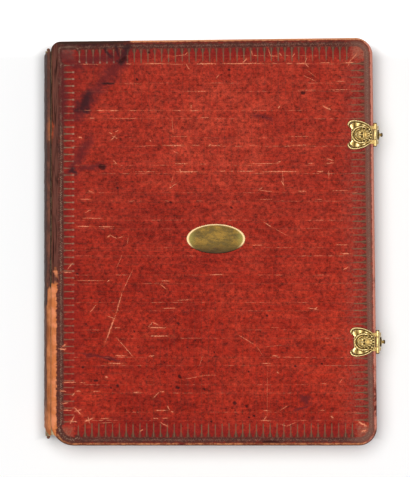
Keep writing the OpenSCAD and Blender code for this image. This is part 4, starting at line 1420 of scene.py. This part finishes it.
@dataclass
class Headband:
    """Sewn band at one end of the spine: a round core with turns of thread."""

    name: str
    y: float
    spine: Spine
    radius: float = 0.9
    inset: float = 2.5
    turns: int = 46
    low: float = 6.2
    high: float = 23.8

    def build(self, material: Material) -> Thing:
        """Makes the band: a circle carried along the back's section, swelling at each turn of thread.

        Args:
            material: Finish of the thread.

        Returns:
            The piece, on its body.
        """
        fine = np.linspace(-0.98, 0.98, 900)
        path = self.spine.curve(self.inset, fine)
        path = path[(path[:, 1] > self.low) & (path[:, 1] < self.high)]
        step = np.linalg.norm(np.diff(path, axis=0), axis=1)
        run = np.concatenate([[0], np.cumsum(step)])
        even = np.linspace(0, run[-1], self.turns * 6)
        x, z = np.interp(even, run, path[:, 0]), np.interp(even, run, path[:, 1])
        dx, dz = np.gradient(x), np.gradient(z)
        size = np.hypot(dx, dz)
        nx, nz = dz / size, -dx / size
        turn = even / run[-1] * self.turns
        radius = self.radius * (0.88 + 0.1 * np.abs(np.sin(turn * np.pi)))
        radius[[0, -1]] *= 0.6
        angle = np.linspace(0, 2 * np.pi, 15)[:-1]
        ring_x = x[:, None] + radius[:, None] * np.cos(angle) * nx[:, None]
        ring_z = z[:, None] + radius[:, None] * np.cos(angle) * nz[:, None]
        ring_y = self.y + radius[:, None] * np.sin(angle)
        shell = Shell(self.name)
        shell.add_tube(np.stack([ring_x, ring_y, ring_z], -1), turn=np.repeat(turn[:, None], 14, 1))
        return settle(shell.build(material, 60), Body.BLOCK, Slot.THREAD, self.name.replace("_sewn", ""))


@dataclass
class GutterPaper:
    """Thin paper that lines one side of a joint, from the inner face out to the leather."""

    name: str
    body: Body
    x: float
    z0: float
    z1: float
    thickness: float = 0.06
    tail: float = -112.0
    head: float = 117.0

    def build(self, material: Material) -> Thing:
        """Makes the paper: a thin upright strip, slightly uneven at its upper edge.

        Args:
            material: Finish of the paper.

        Returns:
            The piece, on its body.
        """
        y = np.linspace(self.tail, self.head, 120)
        edge = 0.12 * ripple(y, y * 0, 9, 31)
        z1 = self.z1 + edge
        near, far = self.x - self.thickness / 2, self.x + self.thickness / 2
        corners = [(near, np.full_like(y, self.z0)), (far, np.full_like(y, self.z0)), (far, z1), (near, z1)]
        layers = np.stack([np.stack([np.full_like(y, cx), y, cz], -1) for cx, cz in corners], 1)
        shell = Shell(self.name)
        shell.add_tube(layers)
        return settle(shell.build(material), self.body, Slot.PAPER)


@dataclass
class OvalPlate:
    """Domed oval plate on the front cover, rubbed and slightly dented."""

    length: float = 36.0
    width: float = 18.2
    rim: float = 0.5
    dome: float = 0.9
    x: float = 4.1
    y: float = 1.7
    top: float = 30.0
    around: int = 180
    rings: int = 46
    lip_steps: int = 6

    def build(self, material: Material) -> Thing:
        """Makes the plate: height = rim + dome (1 - s^2) with a rounded lip, on rings scaled by s.

        Args:
            material: Finish of the brass.

        Returns:
            The piece, on its body.
        """
        angle = np.linspace(0, 2 * np.pi, self.around, endpoint=False)
        turn = np.linspace(0, np.pi / 2, self.lip_steps)
        lip_place = 1 - 0.04 * (1 - np.cos(turn))
        s = np.concatenate([[1.0], lip_place, np.linspace(0.95, 0.02, self.rings)])[:, None]
        x = self.x + s * self.length / 2 * np.cos(angle)
        y = self.y + s * self.width / 2 * np.sin(angle)
        lip = self.rim * (0.55 + 0.6 * np.sin(turn))[:, None]
        crown = self.rim + self.dome * (1 - s[1 + self.lip_steps:] ** 2)
        z = np.concatenate([np.zeros((1, 1)), lip, crown]) + np.zeros_like(x)
        dents = 0.03 * ripple(x, y, 6, 41) + 0.015 * ripple(x, y, 2.2, 42)
        z += dents * rise(s, 1.0, 0.85)
        shell = Shell("oval_plate_worn")
        rim = np.broadcast_to(rise(s, 0.9, 0.955), x.shape)
        shell.add_tube(np.stack([x, y, z + self.top], -1), rim=rim)
        return settle(shell.build(material, 40), Body.FRONT, Slot.DULL_BRASS, "oval_plate")


@dataclass(frozen=True)
class PatinaAndPaintedLightBrass:
    """Finish of the oval plate: olive patina with dirt, rubbed patches with a painted highlight, a painted
    highlight along the rim at the top and the ends, and painted shade along its lower side.
    """

    x: float = 4.1
    y: float = 1.7
    half_width: float = 9.1

    def make(self) -> Material:
        """Makes the material.

        Returns:
            The material, with its nodes.
        """
        f = Finish("patina_and_painted_light_brass")
        x, y, _ = f.split(f.place)
        down = f.both(f.less(self.y, y), 1 / self.half_width)
        side = f.both(f.less(x, self.x), 1 / (2 * self.half_width))
        patch = f.noise(f.stretch(f.place, (0.7, 1.3, 1)), 0.24, 4, 0.65)
        fine = f.noise(f.stretch(f.place, (1, 1.6, 1), (4, 4, 4)), 1.1, 4, 0.7)
        colour = f.mix(f.step(patch, 0.36, 0.62), tint(94, 73, 22), tint(138, 104, 30))
        # Painted shade: the brass darkens towards the plate's lower side.
        colour = f.mix(f.step(f.sum(down, f.line(patch, 0.3, 0.7, -0.3, 0.3)), 0.2, 1.0), colour,
                       tint(70, 48, 16))
        ends = f.step(f.size(side), 0.62, 0.95)
        colour = f.mix(f.both(ends, f.step(down, 0.8, 0.0), 0.7), colour, tint(160, 146, 70))
        # Rubbed patches on the upper part of the dome: partly rubbed brass and partly a painted highlight.
        rubbed = f.both(f.step(fine, 0.5, 0.72), f.step(patch, 0.44, 0.6), f.step(down, 0.6, 0.1), 0.8)
        colour = f.mix(rubbed, colour, tint(186, 140, 66))
        dirt = f.both(f.step(fine, 0.46, 0.32), 0.6)
        colour = f.mix(dirt, colour, tint(62, 50, 20))
        rim = f.value_of("rim")
        # Painted highlight: the rim is lit bright at the top and at both ends.
        lit = f.either(f.step(down, 0.25, -0.4), f.both(ends, f.step(down, 0.75, 0.3)))
        colour = f.mix(f.both(rim, lit, f.line(fine, 0.3, 0.6, 0.6, 1.0)), colour, tint(250, 214, 160))
        # Painted shade: the rim goes dark along the lower side.
        low = f.step(f.sum(down, f.both(f.size(side), -0.25)), 0.35, 0.8)
        colour = f.mix(f.both(rim, low), colour, tint(58, 34, 14))
        return f.finish(colour, f.line(fine, 0.3, 0.7, 0.42, 0.6), fine, 0.04, 0.2, 0.25)


@dataclass
class Clasp:
    """Cast clasp plate with a calm mask of a general kind, its crown outwards, and two hinge knuckles."""

    name: str
    node: str
    y: float
    fore_x: float
    top: float = 30.0
    centre: float = -7.4
    half_long: float = 5.6
    half_wide: float = 4.9
    chin: float = -11.5
    crown: float = -2.5
    face_width: float = 6.8
    barrel_radius: float = 1.2
    barrel_length: float = 13.6
    knuckle_length: float = 6.0
    knuckle_gap: float = 0.15
    axis_out: float = 1.0
    swing_gap: float = 0.3
    axis_up: float = -0.0574
    web_width: float = 2.3
    web_thickness: float = 0.85
    web_inset: float = 0.1
    bead_count: int = 5
    bead_ring: float = 5.75
    bead_turn: float = 0.29
    bead_radius: float = 0.62
    rings: int = 84
    smooth: int = 15
    hollow_cell: float = 0.15
    hollow_passes: int = 22
    segments: int = 40

    def outline(self) -> Array:
        """Closed outline of the casting: a smooth curve through one half's points and their mirror images.

        Returns:
            Places out towards the fore edge and along it.
        """
        inner = self.axis_out - self.barrel_radius - self.swing_gap
        half = np.array([
            [inner + 0.05, 0], [inner, 2.6], [inner - 1, 5], [-4.2, 7.2], [-8.2, 8.7], [-12.5, 9.2],
            [-15.1, 8.3], [-16.1, 6.4], [-14.9, 4.6], [-13.7, 3.2], [-13.9, 0]])
        ring = np.concatenate([half, half[-2:0:-1] * [1, -1]])
        a, b, c, d = (np.roll(ring, -k, 0)[:, None] for k in (-1, 0, 1, 2))
        t = (np.arange(self.smooth) / self.smooth)[None, :, None]
        square, cube = 2 * a - 5 * b + 4 * c - d, 3 * b - a - 3 * c + d
        return (0.5 * (2 * b + (c - a) * t + square * t**2 + cube * t**3)).reshape(-1, 2)

    def face(self, u: Array, v: Array) -> Array:
        """Relief of a general face of plain proportions.

        The eyes lie halfway between chin and crown, the base of the nose halfway from them to the chin, and
        the mouth a third of the way below that. The head is five eyes wide. Each feature is a bell curve.

        Args:
            u: Place out towards the fore edge.
            v: Place along the fore edge.

        Returns:
            The height over the ground in millimetres.
        """
        across = np.abs(v)
        eye = (self.chin + self.crown) / 2
        nose = (eye + self.chin) / 2
        mouth = nose + (self.chin - nose) / 3
        width = self.face_width
        lid = width / 5
        middle = (self.chin + self.crown) / 2 + 0.3
        length = (self.crown - self.chin) / 2 + 0.2
        narrow = width / 2 * (1 - 0.22 * rise(u, eye, self.chin))
        dome = 1.5 * np.sqrt(np.clip(1 - ((u - middle) / length) ** 2 - (v / narrow) ** 2, 0, 1))
        brow = 0.22 * bell((u - eye - 0.85) / 0.4) * bell((across - 1.2) / 1.1)
        socket = -0.5 * bell((u - eye) / 0.55) * bell((across - lid) / 0.75)
        ball = 0.26 * bell((u - eye) / 0.26) * bell((across - lid) / 0.42)
        ridge = 0.55 * rise(u, nose - 0.3, nose + 0.3) * rise(u, eye + 1.0, eye - 0.9) * bell(v / 0.42)
        wings = 0.22 * bell((u - nose) / 0.3) * bell((across - 0.42) / 0.3)
        under = -0.24 * bell((u - nose + 0.5) / 0.24) * bell(v / 0.8)
        lips = 0.28 * (bell((u - mouth - 0.22) / 0.17) + bell((u - mouth + 0.26) / 0.2)) * bell(v / 0.95)
        part = -0.34 * bell((u - mouth) / 0.12) * bell(v / 0.95)
        chin = 0.26 * bell((u - self.chin - 0.75) / 0.45) * bell(v / 0.8)
        cheek = 0.2 * bell((u - nose - 0.7) / 0.9) * bell((across - 1.75) / 0.7)
        return dome + (brow + socket + ball + ridge + wings + under + lips + part + chin + cheek) * (dome > 0)

    def beads(self, u: Array, v: Array) -> Array:
        """Row of round beads over the brow: half balls on an arc about the mask's centre.

        Args:
            u: Place out towards the fore edge.
            v: Place along the fore edge.

        Returns:
            The height over the ground in millimetres.
        """
        total = np.zeros_like(u)
        for k in range(self.bead_count):
            turn = (k - (self.bead_count - 1) / 2) * self.bead_turn
            bead_u = self.centre + self.bead_ring * math.cos(turn)
            away = np.hypot(u - bead_u, v - self.bead_ring * math.sin(turn)) / self.bead_radius
            total = np.maximum(total, 0.8 * np.sqrt(np.clip(1 - away**2, 0, 1)))
        return total

    def relief(self, u: Array, v: Array, s: Array) -> Array:
        """Height of the casting over the leather.

        Ground and rim, the ring round the face that is open at the crown, a row of beads over the brow, the
        waved hair, and lobes like leaves on the wings.

        Args:
            u: Place out towards the fore edge.
            v: Place along the fore edge.
            s: Share of the way from the mask's centre to the outline.

        Returns:
            The height in millimetres.
        """
        p = (u - self.centre) / self.half_long
        q = v / self.half_wide
        far = np.hypot(p, q)
        turn = np.abs(np.arctan2(q, p))
        ground = 0.6 * rise(s, 1.0, 0.965)
        rim = 0.6 * bell((s - 0.93) / 0.042) - 0.34 * bell((s - 0.845) / 0.04) * rise(turn, 0.8, 1.0)
        ring = 0.75 * bell((far - 1.0) / 0.09) * rise(turn, 0.95, 1.25)
        moat = -0.4 * bell((far - 0.86) / 0.06) * rise(turn, 0.9, 1.2)
        outward = rise(far, 1.1, 1.2) * rise(s, 0.88, 0.8)
        lobes = 0.7 * np.abs(np.sin(turn * 5.4 + far * 1.6 - 1.2)) ** 0.7 * outward - 0.2 * outward
        hair_zone = rise(far, 0.6, 0.72) * rise(far, 1.0, 0.9) * rise(turn, 1.7, 1.3)
        hair = (0.35 + 0.28 * np.sin(turn * 15 + far * 6)) * hair_zone
        band = 0.3 * bell((far - 0.9) / 0.05) * rise(turn, 1.1, 0.9)
        low = rise(turn, 1.1, 0.8) * rise(far, 0.86, 0.96) * rise(s, 0.95, 0.9) * 0.3
        ornament = rim + ring + moat + lobes + hair + band - low
        return 0.35 + ground + ornament + self.beads(u, v) + self.face(u, v)

    def hollows(self, z: Array, u: Array, v: Array) -> Array:
        """How deep each place lies among its neighbours, from 0 on ridges to 1 in hollows.

        The height is compared with its mean over a wide patch, taken on a plain grid of the casting.

        Args:
            z: Height over the leather.
            u: Place out towards the fore edge.
            v: Place along the fore edge.

        Returns:
            The share of hollow at each place.
        """
        i = ((u - u.min()) / self.hollow_cell).astype(int)
        j = ((v - v.min()) / self.hollow_cell).astype(int)
        total = np.zeros((i.max() + 1, j.max() + 1))
        count = np.zeros_like(total)
        np.add.at(total, (i, j), z)
        np.add.at(count, (i, j), 1)
        for _ in range(self.hollow_passes):
            for axis in (0, 1):
                total = (np.roll(total, 1, axis) + 2 * total + np.roll(total, -1, axis)) / 4
                count = (np.roll(count, 1, axis) + 2 * count + np.roll(count, -1, axis)) / 4
        mean = total / np.maximum(count, 1e-6)
        return np.clip(0.42 - 1.7 * (z - mean[i, j]), 0, 1)

    def knuckle(self, shell: Shell, middle: float, length: float) -> None:
        """Adds a hinge knuckle: a cylinder along Y with softened ends.

        Args:
            shell: Shell that gets the knuckle.
            middle: Y of its middle from the clasp's centre.
            length: Its length.
        """
        r = self.barrel_radius
        soft = 0.5 - 0.12 / length
        ends = np.array([[-0.5, r - 0.18], [-soft, r], [soft, r], [0.5, r - 0.18]])
        angle = np.linspace(0, 2 * np.pi, self.segments, endpoint=False)
        layers = np.stack([
            self.fore_x + self.axis_out + ends[:, 1:2] * np.cos(angle),
            np.repeat((self.y + middle + ends[:, :1] * length), self.segments, 1),
            self.top + self.axis_up + ends[:, 1:2] * np.sin(angle)], -1)
        shell.add_tube(layers, hollow=np.full(layers.shape[:2], 0.3))

    def web(self, shell: Shell, middle: float) -> None:
        """Adds the neck that joins a knuckle to the casting.

        Args:
            shell: Shell that gets the neck.
            middle: Y of its middle from the clasp's centre.
        """
        left = self.fore_x + self.axis_out - self.barrel_radius - self.swing_gap - 1.4
        right = self.fore_x + self.axis_out
        y0, y1 = self.y + middle - self.web_width / 2, self.y + middle + self.web_width / 2
        plan = np.array([[left, y0], [right, y0], [right, y1], [left, y1]])
        heights = (0.02, self.web_thickness)
        layers = np.stack([np.column_stack([plan, np.full(4, self.top + z)]) for z in heights])
        shell.add_tube(layers, hollow=np.full(layers.shape[:2], 0.6))

    def build(self, material: Material) -> Thing:
        """Makes the clasp plate: rings of its outline drawn in to the mask's centre, raised by the relief.

        Args:
            material: Finish of the brass.

        Returns:
            The piece, on its body.
        """
        edge = self.outline()
        s = np.concatenate([[1.0, 1.0, 0.993, 0.98], np.linspace(0.97, 0.012, self.rings)])[:, None]
        u = self.centre + s * (edge[:, 0] - self.centre)
        v = s * edge[:, 1]
        z = self.relief(u, v, np.broadcast_to(s, u.shape))
        z[0] = 0.0
        # The hollow share gives the brass finish its patina and painted shade; the casting's foot, where it
        # meets the leather, is darkened as painted shade as well.
        hollow = self.hollows(z, u, v)
        hollow[:2] = 0.9
        shell = Shell(self.name)
        shell.add_tube(np.stack([self.fore_x + u, self.y + v, self.top + z], -1), hollow=hollow)
        ear = (self.barrel_length - self.knuckle_length) / 2 - self.knuckle_gap
        for side in (-1, 1):
            self.knuckle(shell, side * (self.barrel_length - ear) / 2, ear)
            self.web(shell, side * (self.barrel_length / 2 - ear + self.web_inset + self.web_width / 2))
        return settle(shell.build(material, 50), Body.FRONT, Slot.BRASS, self.node)


@dataclass
class Knob:
    """Turned knob riveted through a hasp. Its axis points out from the hasp."""

    name: str
    node: str
    body: Body
    y: float
    fore_x: float
    top: float = 30.0
    axis_out: float = 1.0
    axis_up: float = -0.0574
    hasp_in: float = 0.2
    hasp_thickness: float = 1.0
    drop: float = 9.0
    rest: float = 3.0
    flange_radius: float = 3.0
    length: float = 3.2
    segments: int = 48

    def build(self, material: Material) -> Thing:
        """Makes the knob: a profile turned about its axis, with a dark flange and tip and a bright neck.

        Args:
            material: Finish of the brass.

        Returns:
            The piece, on its body.
        """
        t, r = self.hasp_thickness, self.flange_radius
        end = t + self.length
        profile = np.array([
            [0.0, 0.75, 0.9], [t - 0.02, 0.8, 0.9], [t, r - 0.15, 1.0], [t + 0.15, r, 0.8], [t + 0.7, r, 0.8],
            [t + 0.9, r - 0.2, 0.55], [t + 0.95, r * 0.72, 0.95], [t + 1.05, r * 0.62, 0.3],
            [t + 1.3, r * 0.45, 0.1], [t + 1.5, 0.95, 0.3], [t + 1.7, 0.88, 0.6], [end - 1.3, 0.86, 0.6],
            [end - 1.05, 1.2, 0.5], [end - 0.7, 1.25, 0.8], [end - 0.35, 1.15, 1.0], [end - 0.08, 0.72, 1.0],
            [end, 0.2, 1.0]])
        angle = np.linspace(0, 2 * np.pi, self.segments, endpoint=False)
        out = profile[:, :1] + self.hasp_in + np.zeros((1, self.segments))
        down = self.drop + profile[:, 1:2] * np.cos(angle)
        aside = profile[:, 1:2] * np.sin(angle)
        swing = math.radians(self.rest)
        x = out * math.cos(swing) + down * math.sin(swing)
        z = out * math.sin(swing) - down * math.cos(swing)
        layers = np.stack([x + self.fore_x + self.axis_out, aside + self.y, z + self.top + self.axis_up], -1)
        shell = Shell(self.name)
        shell.add_tube(layers, hollow=np.repeat(profile[:, 2:3], self.segments, 1))
        return settle(shell.build(material, 45), self.body, Slot.BRASS, self.node)


@dataclass(frozen=True)
class OldBrass:
    """Finish of old brass: bright on what stands out, as rubbed brass with a painted highlight, and dark in
    the hollows, as patina with painted shade.
    """

    name: str
    bright: tuple = tint(255, 230, 164)
    middle: tuple = tint(186, 152, 82)
    dark: tuple = tint(74, 54, 18)
    roughness: float = 0.34
    metal: float = 0.5

    def make(self) -> Material:
        """Makes the material.

        Returns:
            The material, with its nodes.
        """
        f = Finish(self.name)
        patch = f.noise(f.place, 0.3, 4, 0.65)
        fine = f.noise(f.place, 1.8, 4, 0.7)
        # Where the hollow share is high the brass is dark: in the clasp's hollows this is patina and painted
        # shade. Where it is low the brass is bright: on what stands out this is rubbed brass and a painted
        # highlight.
        tone = f.sum(f.value_of("hollow"), f.line(patch, 0.25, 0.75, -0.12, 0.12))
        tone = f.sum(tone, f.line(fine, 0.3, 0.7, -0.08, 0.08))
        colour = f.mix(f.step(tone, 0.05, 0.42), self.bright, self.middle)
        colour = f.mix(f.step(tone, 0.38, 0.85), colour, self.dark)
        rough = f.math("ADD", f.line(fine, 0.2, 0.8, self.roughness - 0.06, self.roughness + 0.1),
                       f.step(tone, 0.3, 0.9, 0.25), clamp=True)
        return f.finish(colour, rough, fine, 0.03, 0.4, self.metal)


@dataclass(frozen=True)
class Paper:
    """Finish of old paper, either the stacked edges of leaves or a plain sheet."""

    name: str
    edges: bool

    def make(self) -> Material:
        """Makes the material.

        Returns:
            The material, with its nodes.
        """
        f = Finish(self.name)
        cloud = f.noise(f.place, 0.03, 4, 0.6)
        colour = f.mix(f.step(cloud, 0.3, 0.7, 0.6), tint(220, 202, 164), tint(206, 182, 138))
        spots, chance = f.cells(f.place, 0.12)
        foxing = f.both(f.step(spots, 0.12, 0.02), f.step(chance, 0.66, 0.74), 0.22)
        colour = f.mix(foxing, colour, tint(162, 112, 62))
        if self.edges:
            leaf = f.noise(f.stretch(f.place, (0.02, 0.02, 7)), 1.0, 3, 0.6)
            cut = f.step(f.split(f.place)[2], 25.5, 25.3)
            colour = f.mix(f.both(f.step(leaf, 0.5, 0.68, 0.55), cut), colour, tint(150, 116, 76))
            return f.finish(colour, 0.85, leaf, 0.12, 0.15)
        return f.finish(colour, 0.8, f.noise(f.place, 1.4, 4, 0.7), 0.05, 0.15)


@dataclass(frozen=True)
class Fibrous:
    """Finish of millboard, mull or cord: a plain colour with fibres."""

    name: str
    light: tuple
    dark: tuple
    scale: float = 0.8

    def make(self) -> Material:
        """Makes the material.

        Returns:
            The material, with its nodes.
        """
        f = Finish(self.name)
        fibre = f.noise(f.place, self.scale, 5, 0.7)
        colour = f.mix(f.step(fibre, 0.35, 0.65), self.light, self.dark)
        return f.finish(colour, 0.9, fibre, 0.15, 0.15)


@dataclass(frozen=True)
class BandThread:
    """Finish of the headband: turns of red and undyed thread in pairs."""

    def make(self) -> Material:
        """Makes the material.

        Returns:
            The material, with its nodes.
        """
        f = Finish("headband_thread")
        turn = f.value_of("turn")
        pair = f.step(f.math("PINGPONG", turn, 2.0), 0.95, 1.05)
        dirt = f.noise(f.place, 0.8, 4, 0.7)
        colour = f.mix(pair, tint(158, 138, 108), tint(116, 70, 54))
        colour = f.mix(f.step(dirt, 0.45, 0.7, 0.4), colour, tint(92, 70, 52))
        return f.finish(colour, 0.75, dirt, 0.05, 0.2)


@dataclass
class Studio:
    """Pale table, plain soft light and a camera straight above the book."""

    distance: float = 6000.0
    aim_height: float = 30.0
    centre_px: tuple[float, float] = (PICTURE_WIDTH / 2, PICTURE_HEIGHT / 2)
    sensor: float = 36.0
    view_reach: float = 20.0
    world_strength: float = 0.15
    lamp_strength: float = 2.85
    lamp_spread: float = 42.0
    lamp_lean: tuple[float, float] = (-2.5, -1.8)
    floor_half: float = 3.0
    floor_drop: float = 0.0002
    floor_white: float = 0.94
    head_lift: float = 0.6
    head_ramp: tuple[float, float] = (0.112, 0.127)
    painted_shadow_tone: float = 0.8
    side_ramp: tuple[float, float] = (0.1005, 0.1085)
    end_ramp: tuple[float, float] = (0.113, 0.123)

    def camera(self) -> None:
        """Places the camera so that one pixel is the same length on the cover as in the picture."""
        data = bpy.data.cameras.new("camera")
        data.sensor_width = self.sensor
        data.lens = self.sensor * self.distance / (PICTURE_HEIGHT * PIXEL)
        data.clip_end = self.view_reach
        camera = link("camera", data)
        x, y = from_picture(*self.centre_px)
        camera.location = (x * MM, y * MM, (self.aim_height + self.distance) * MM)
        bpy.context.scene.camera = camera

    def light(self) -> None:
        """Makes an even white surround and one wide lamp, a little towards the head."""
        world = bpy.data.worlds.new("surround")
        bpy.context.scene.world = world
        world.use_nodes = True
        nodes = Nodes(world.node_tree)
        background = nodes.tree.nodes["Background"]
        seen = nodes.seen_by("Camera", "Transmission")
        nodes.put(background.inputs["Strength"], nodes.line(seen, 0.0, 1.0, self.world_strength, 1.0))
        nodes.put(background.inputs["Color"], (1, 1, 1, 1))
        lamp = bpy.data.lights.new("wide_lamp", "SUN")
        lamp.energy = self.lamp_strength
        lamp.angle = math.radians(self.lamp_spread)
        link("wide_lamp", lamp).rotation_euler = (*np.radians(self.lamp_lean), 0)

    def floor(self) -> None:
        """Lays the pale table. What the camera sees of it past the head is lifted to white, painted light
        over the book's shadow there.

        A painted shadow dulls the table a little beside the joint and the fore edge, where the covers keep
        the light off.
        """
        mesh = bpy.data.meshes.new("table_top")
        corners = [(-1, -1), (1, -1), (1, 1), (-1, 1)]
        points = [(x * self.floor_half, y * self.floor_half, -self.floor_drop) for x, y in corners]
        mesh.from_pydata(points, [], [(0, 1, 2, 3)])
        material = bpy.data.materials.new("table_top")
        material.use_nodes = True
        nodes = Nodes(material.node_tree)
        inputs = nodes.tree.nodes["Principled BSDF"].inputs
        x, y, _ = nodes.split(nodes.add("TexCoord").outputs["Object"])
        away_x, away_y = nodes.size(x), nodes.size(y)
        # Painted shadow: the table's colour darkens beside the book's sides.
        clear = nodes.either(nodes.step(away_x, *self.side_ramp, 1.0, self.painted_shadow_tone),
                             nodes.step(away_y, *self.end_ramp))
        white = (self.floor_white, self.floor_white, self.floor_white, 1)
        nodes.put(inputs["Base Color"], nodes.mix(clear, (0, 0, 0, 1), white))
        # Painted light: past the head the table glows for the camera, where the book's shadow would fall.
        lift = nodes.both(nodes.seen_by("Camera", "Glossy"), nodes.step(y, *self.head_ramp, self.head_lift))
        nodes.put(inputs["Emission Strength"], lift)
        nodes.put(inputs["Emission Color"], (1, 1, 1, 1))
        nodes.put(inputs["Roughness"], 0.9)
        nodes.put(inputs["Specular IOR Level"], 0.1)
        mesh.materials.append(material)
        link("table_top", mesh)

    def build(self) -> None:
        """Sets up the camera, the light, the table and the plain view."""
        self.camera()
        self.light()
        self.floor()
        bpy.context.scene.view_settings.view_transform = "Standard"


@dataclass
class Fittings:
    """Clasps, hasps, knobs, catches and pins, and the oval plate."""

    fore_upper: float = 100.664
    fore_lower: float = 102.188
    y_upper: float = 65.5
    y_lower: float = -61.5

    def build(self) -> None:
        """Makes every fitting and dresses it."""
        brass = OldBrass("old_brass").make()
        rubbed = OldBrass("rubbed_brass", tint(214, 186, 122), tint(168, 134, 72)).make()
        dark = OldBrass("dark_brass", tint(84, 62, 32), tint(60, 42, 22), tint(28, 20, 12), 0.42).make()
        OvalPlate().build(PatinaAndPaintedLightBrass().make())
        places = (("upper", self.y_upper, self.fore_upper, Body.HASP_UPPER),
                  ("lower", self.y_lower, self.fore_lower, Body.HASP_LOWER))
        for end, y, fore_x, body in places:
            Clasp(f"clasp_cast_{end}", f"clasp_plate_{end}", y, fore_x).build(brass)
            Knob(f"knob_turned_{end}", f"knob_{end}", body, y, fore_x).build(brass)
            for part, width, owner in (("hasp", 0.16, body), ("catch", 0.1, Body.BACK)):
                node = f"{part}_{end}"
                piece = bevelled_copy(f"{part}_filed_{end}", node, width)
                piece.data.materials.clear()
                piece.data.materials.append(rubbed)
                settle(piece, owner, Slot.BRASS, node)
            for node in (f"plate_pins_{end}", f"hinge_pin_{end}", f"catch_pins_{end}"):
                dress(node, dark)
            log.info("clasp %s with its hasp, knob, catch and pins", end)


@dataclass
class Album:
    """The whole book: covers, spine, leaves and fittings."""

    spine: Spine = field(default_factory=Spine)

    def build_covers(self) -> None:
        """Makes the leather of both covers and dresses the boards and the papers inside."""
        front = Cover("front_cover_leather", Body.FRONT, "front_leather", True)
        front.build(GrainedLeather("front_goatskin", True).make())
        back = Cover("back_cover_leather", Body.BACK, "back_leather", False, spacing=1.2, corner_samples=22)
        back.build(GrainedLeather("back_goatskin", False).make())
        board = Fibrous("millboard", tint(168, 140, 100), tint(132, 104, 70)).make()
        paper = Paper("endpaper", False).make()
        for side in ("front", "back"):
            dress(f"{side}_board", board)
            dress(f"{side}_pastedown", paper)
        GutterPaper("front_gutter_paper", Body.FRONT, -96.99, 25.9, 29.2).build(paper)
        GutterPaper("back_gutter_paper", Body.BACK, -96.99, 0.8, 4.1).build(paper)
        log.info("covers, boards and endpapers")

    def build_block(self) -> None:
        """Makes the leaves, the spine and what holds them."""
        self.spine.build(WornSpineLeather().make())
        Leaves(self.spine).build(Paper("leaf_edges", True).make())
        thread = BandThread().make()
        Headband("headband_head_sewn", 117.7, self.spine).build(thread)
        Headband("headband_tail_sewn", -120.1, self.spine).build(thread)
        dress("sewing_cords", Fibrous("hemp_cord", tint(204, 184, 140), tint(168, 144, 100), 2.0).make())
        dress("spine_lining", Fibrous("paper_lining", tint(168, 144, 108), tint(128, 102, 72)).make())
        log.info("leaves, spine, headbands, cords and lining")

    def build(self) -> None:
        """Makes the book."""
        self.build_covers()
        self.build_block()
        Fittings().build()


def main() -> None:
    """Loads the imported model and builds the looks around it."""
    logging.basicConfig(level=logging.INFO, format="%(name)s: %(message)s")
    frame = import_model()
    NODES.update(frame["nodes"])
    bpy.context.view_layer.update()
    Studio().build()
    Album().build()


if __name__ == "__main__":
    main()
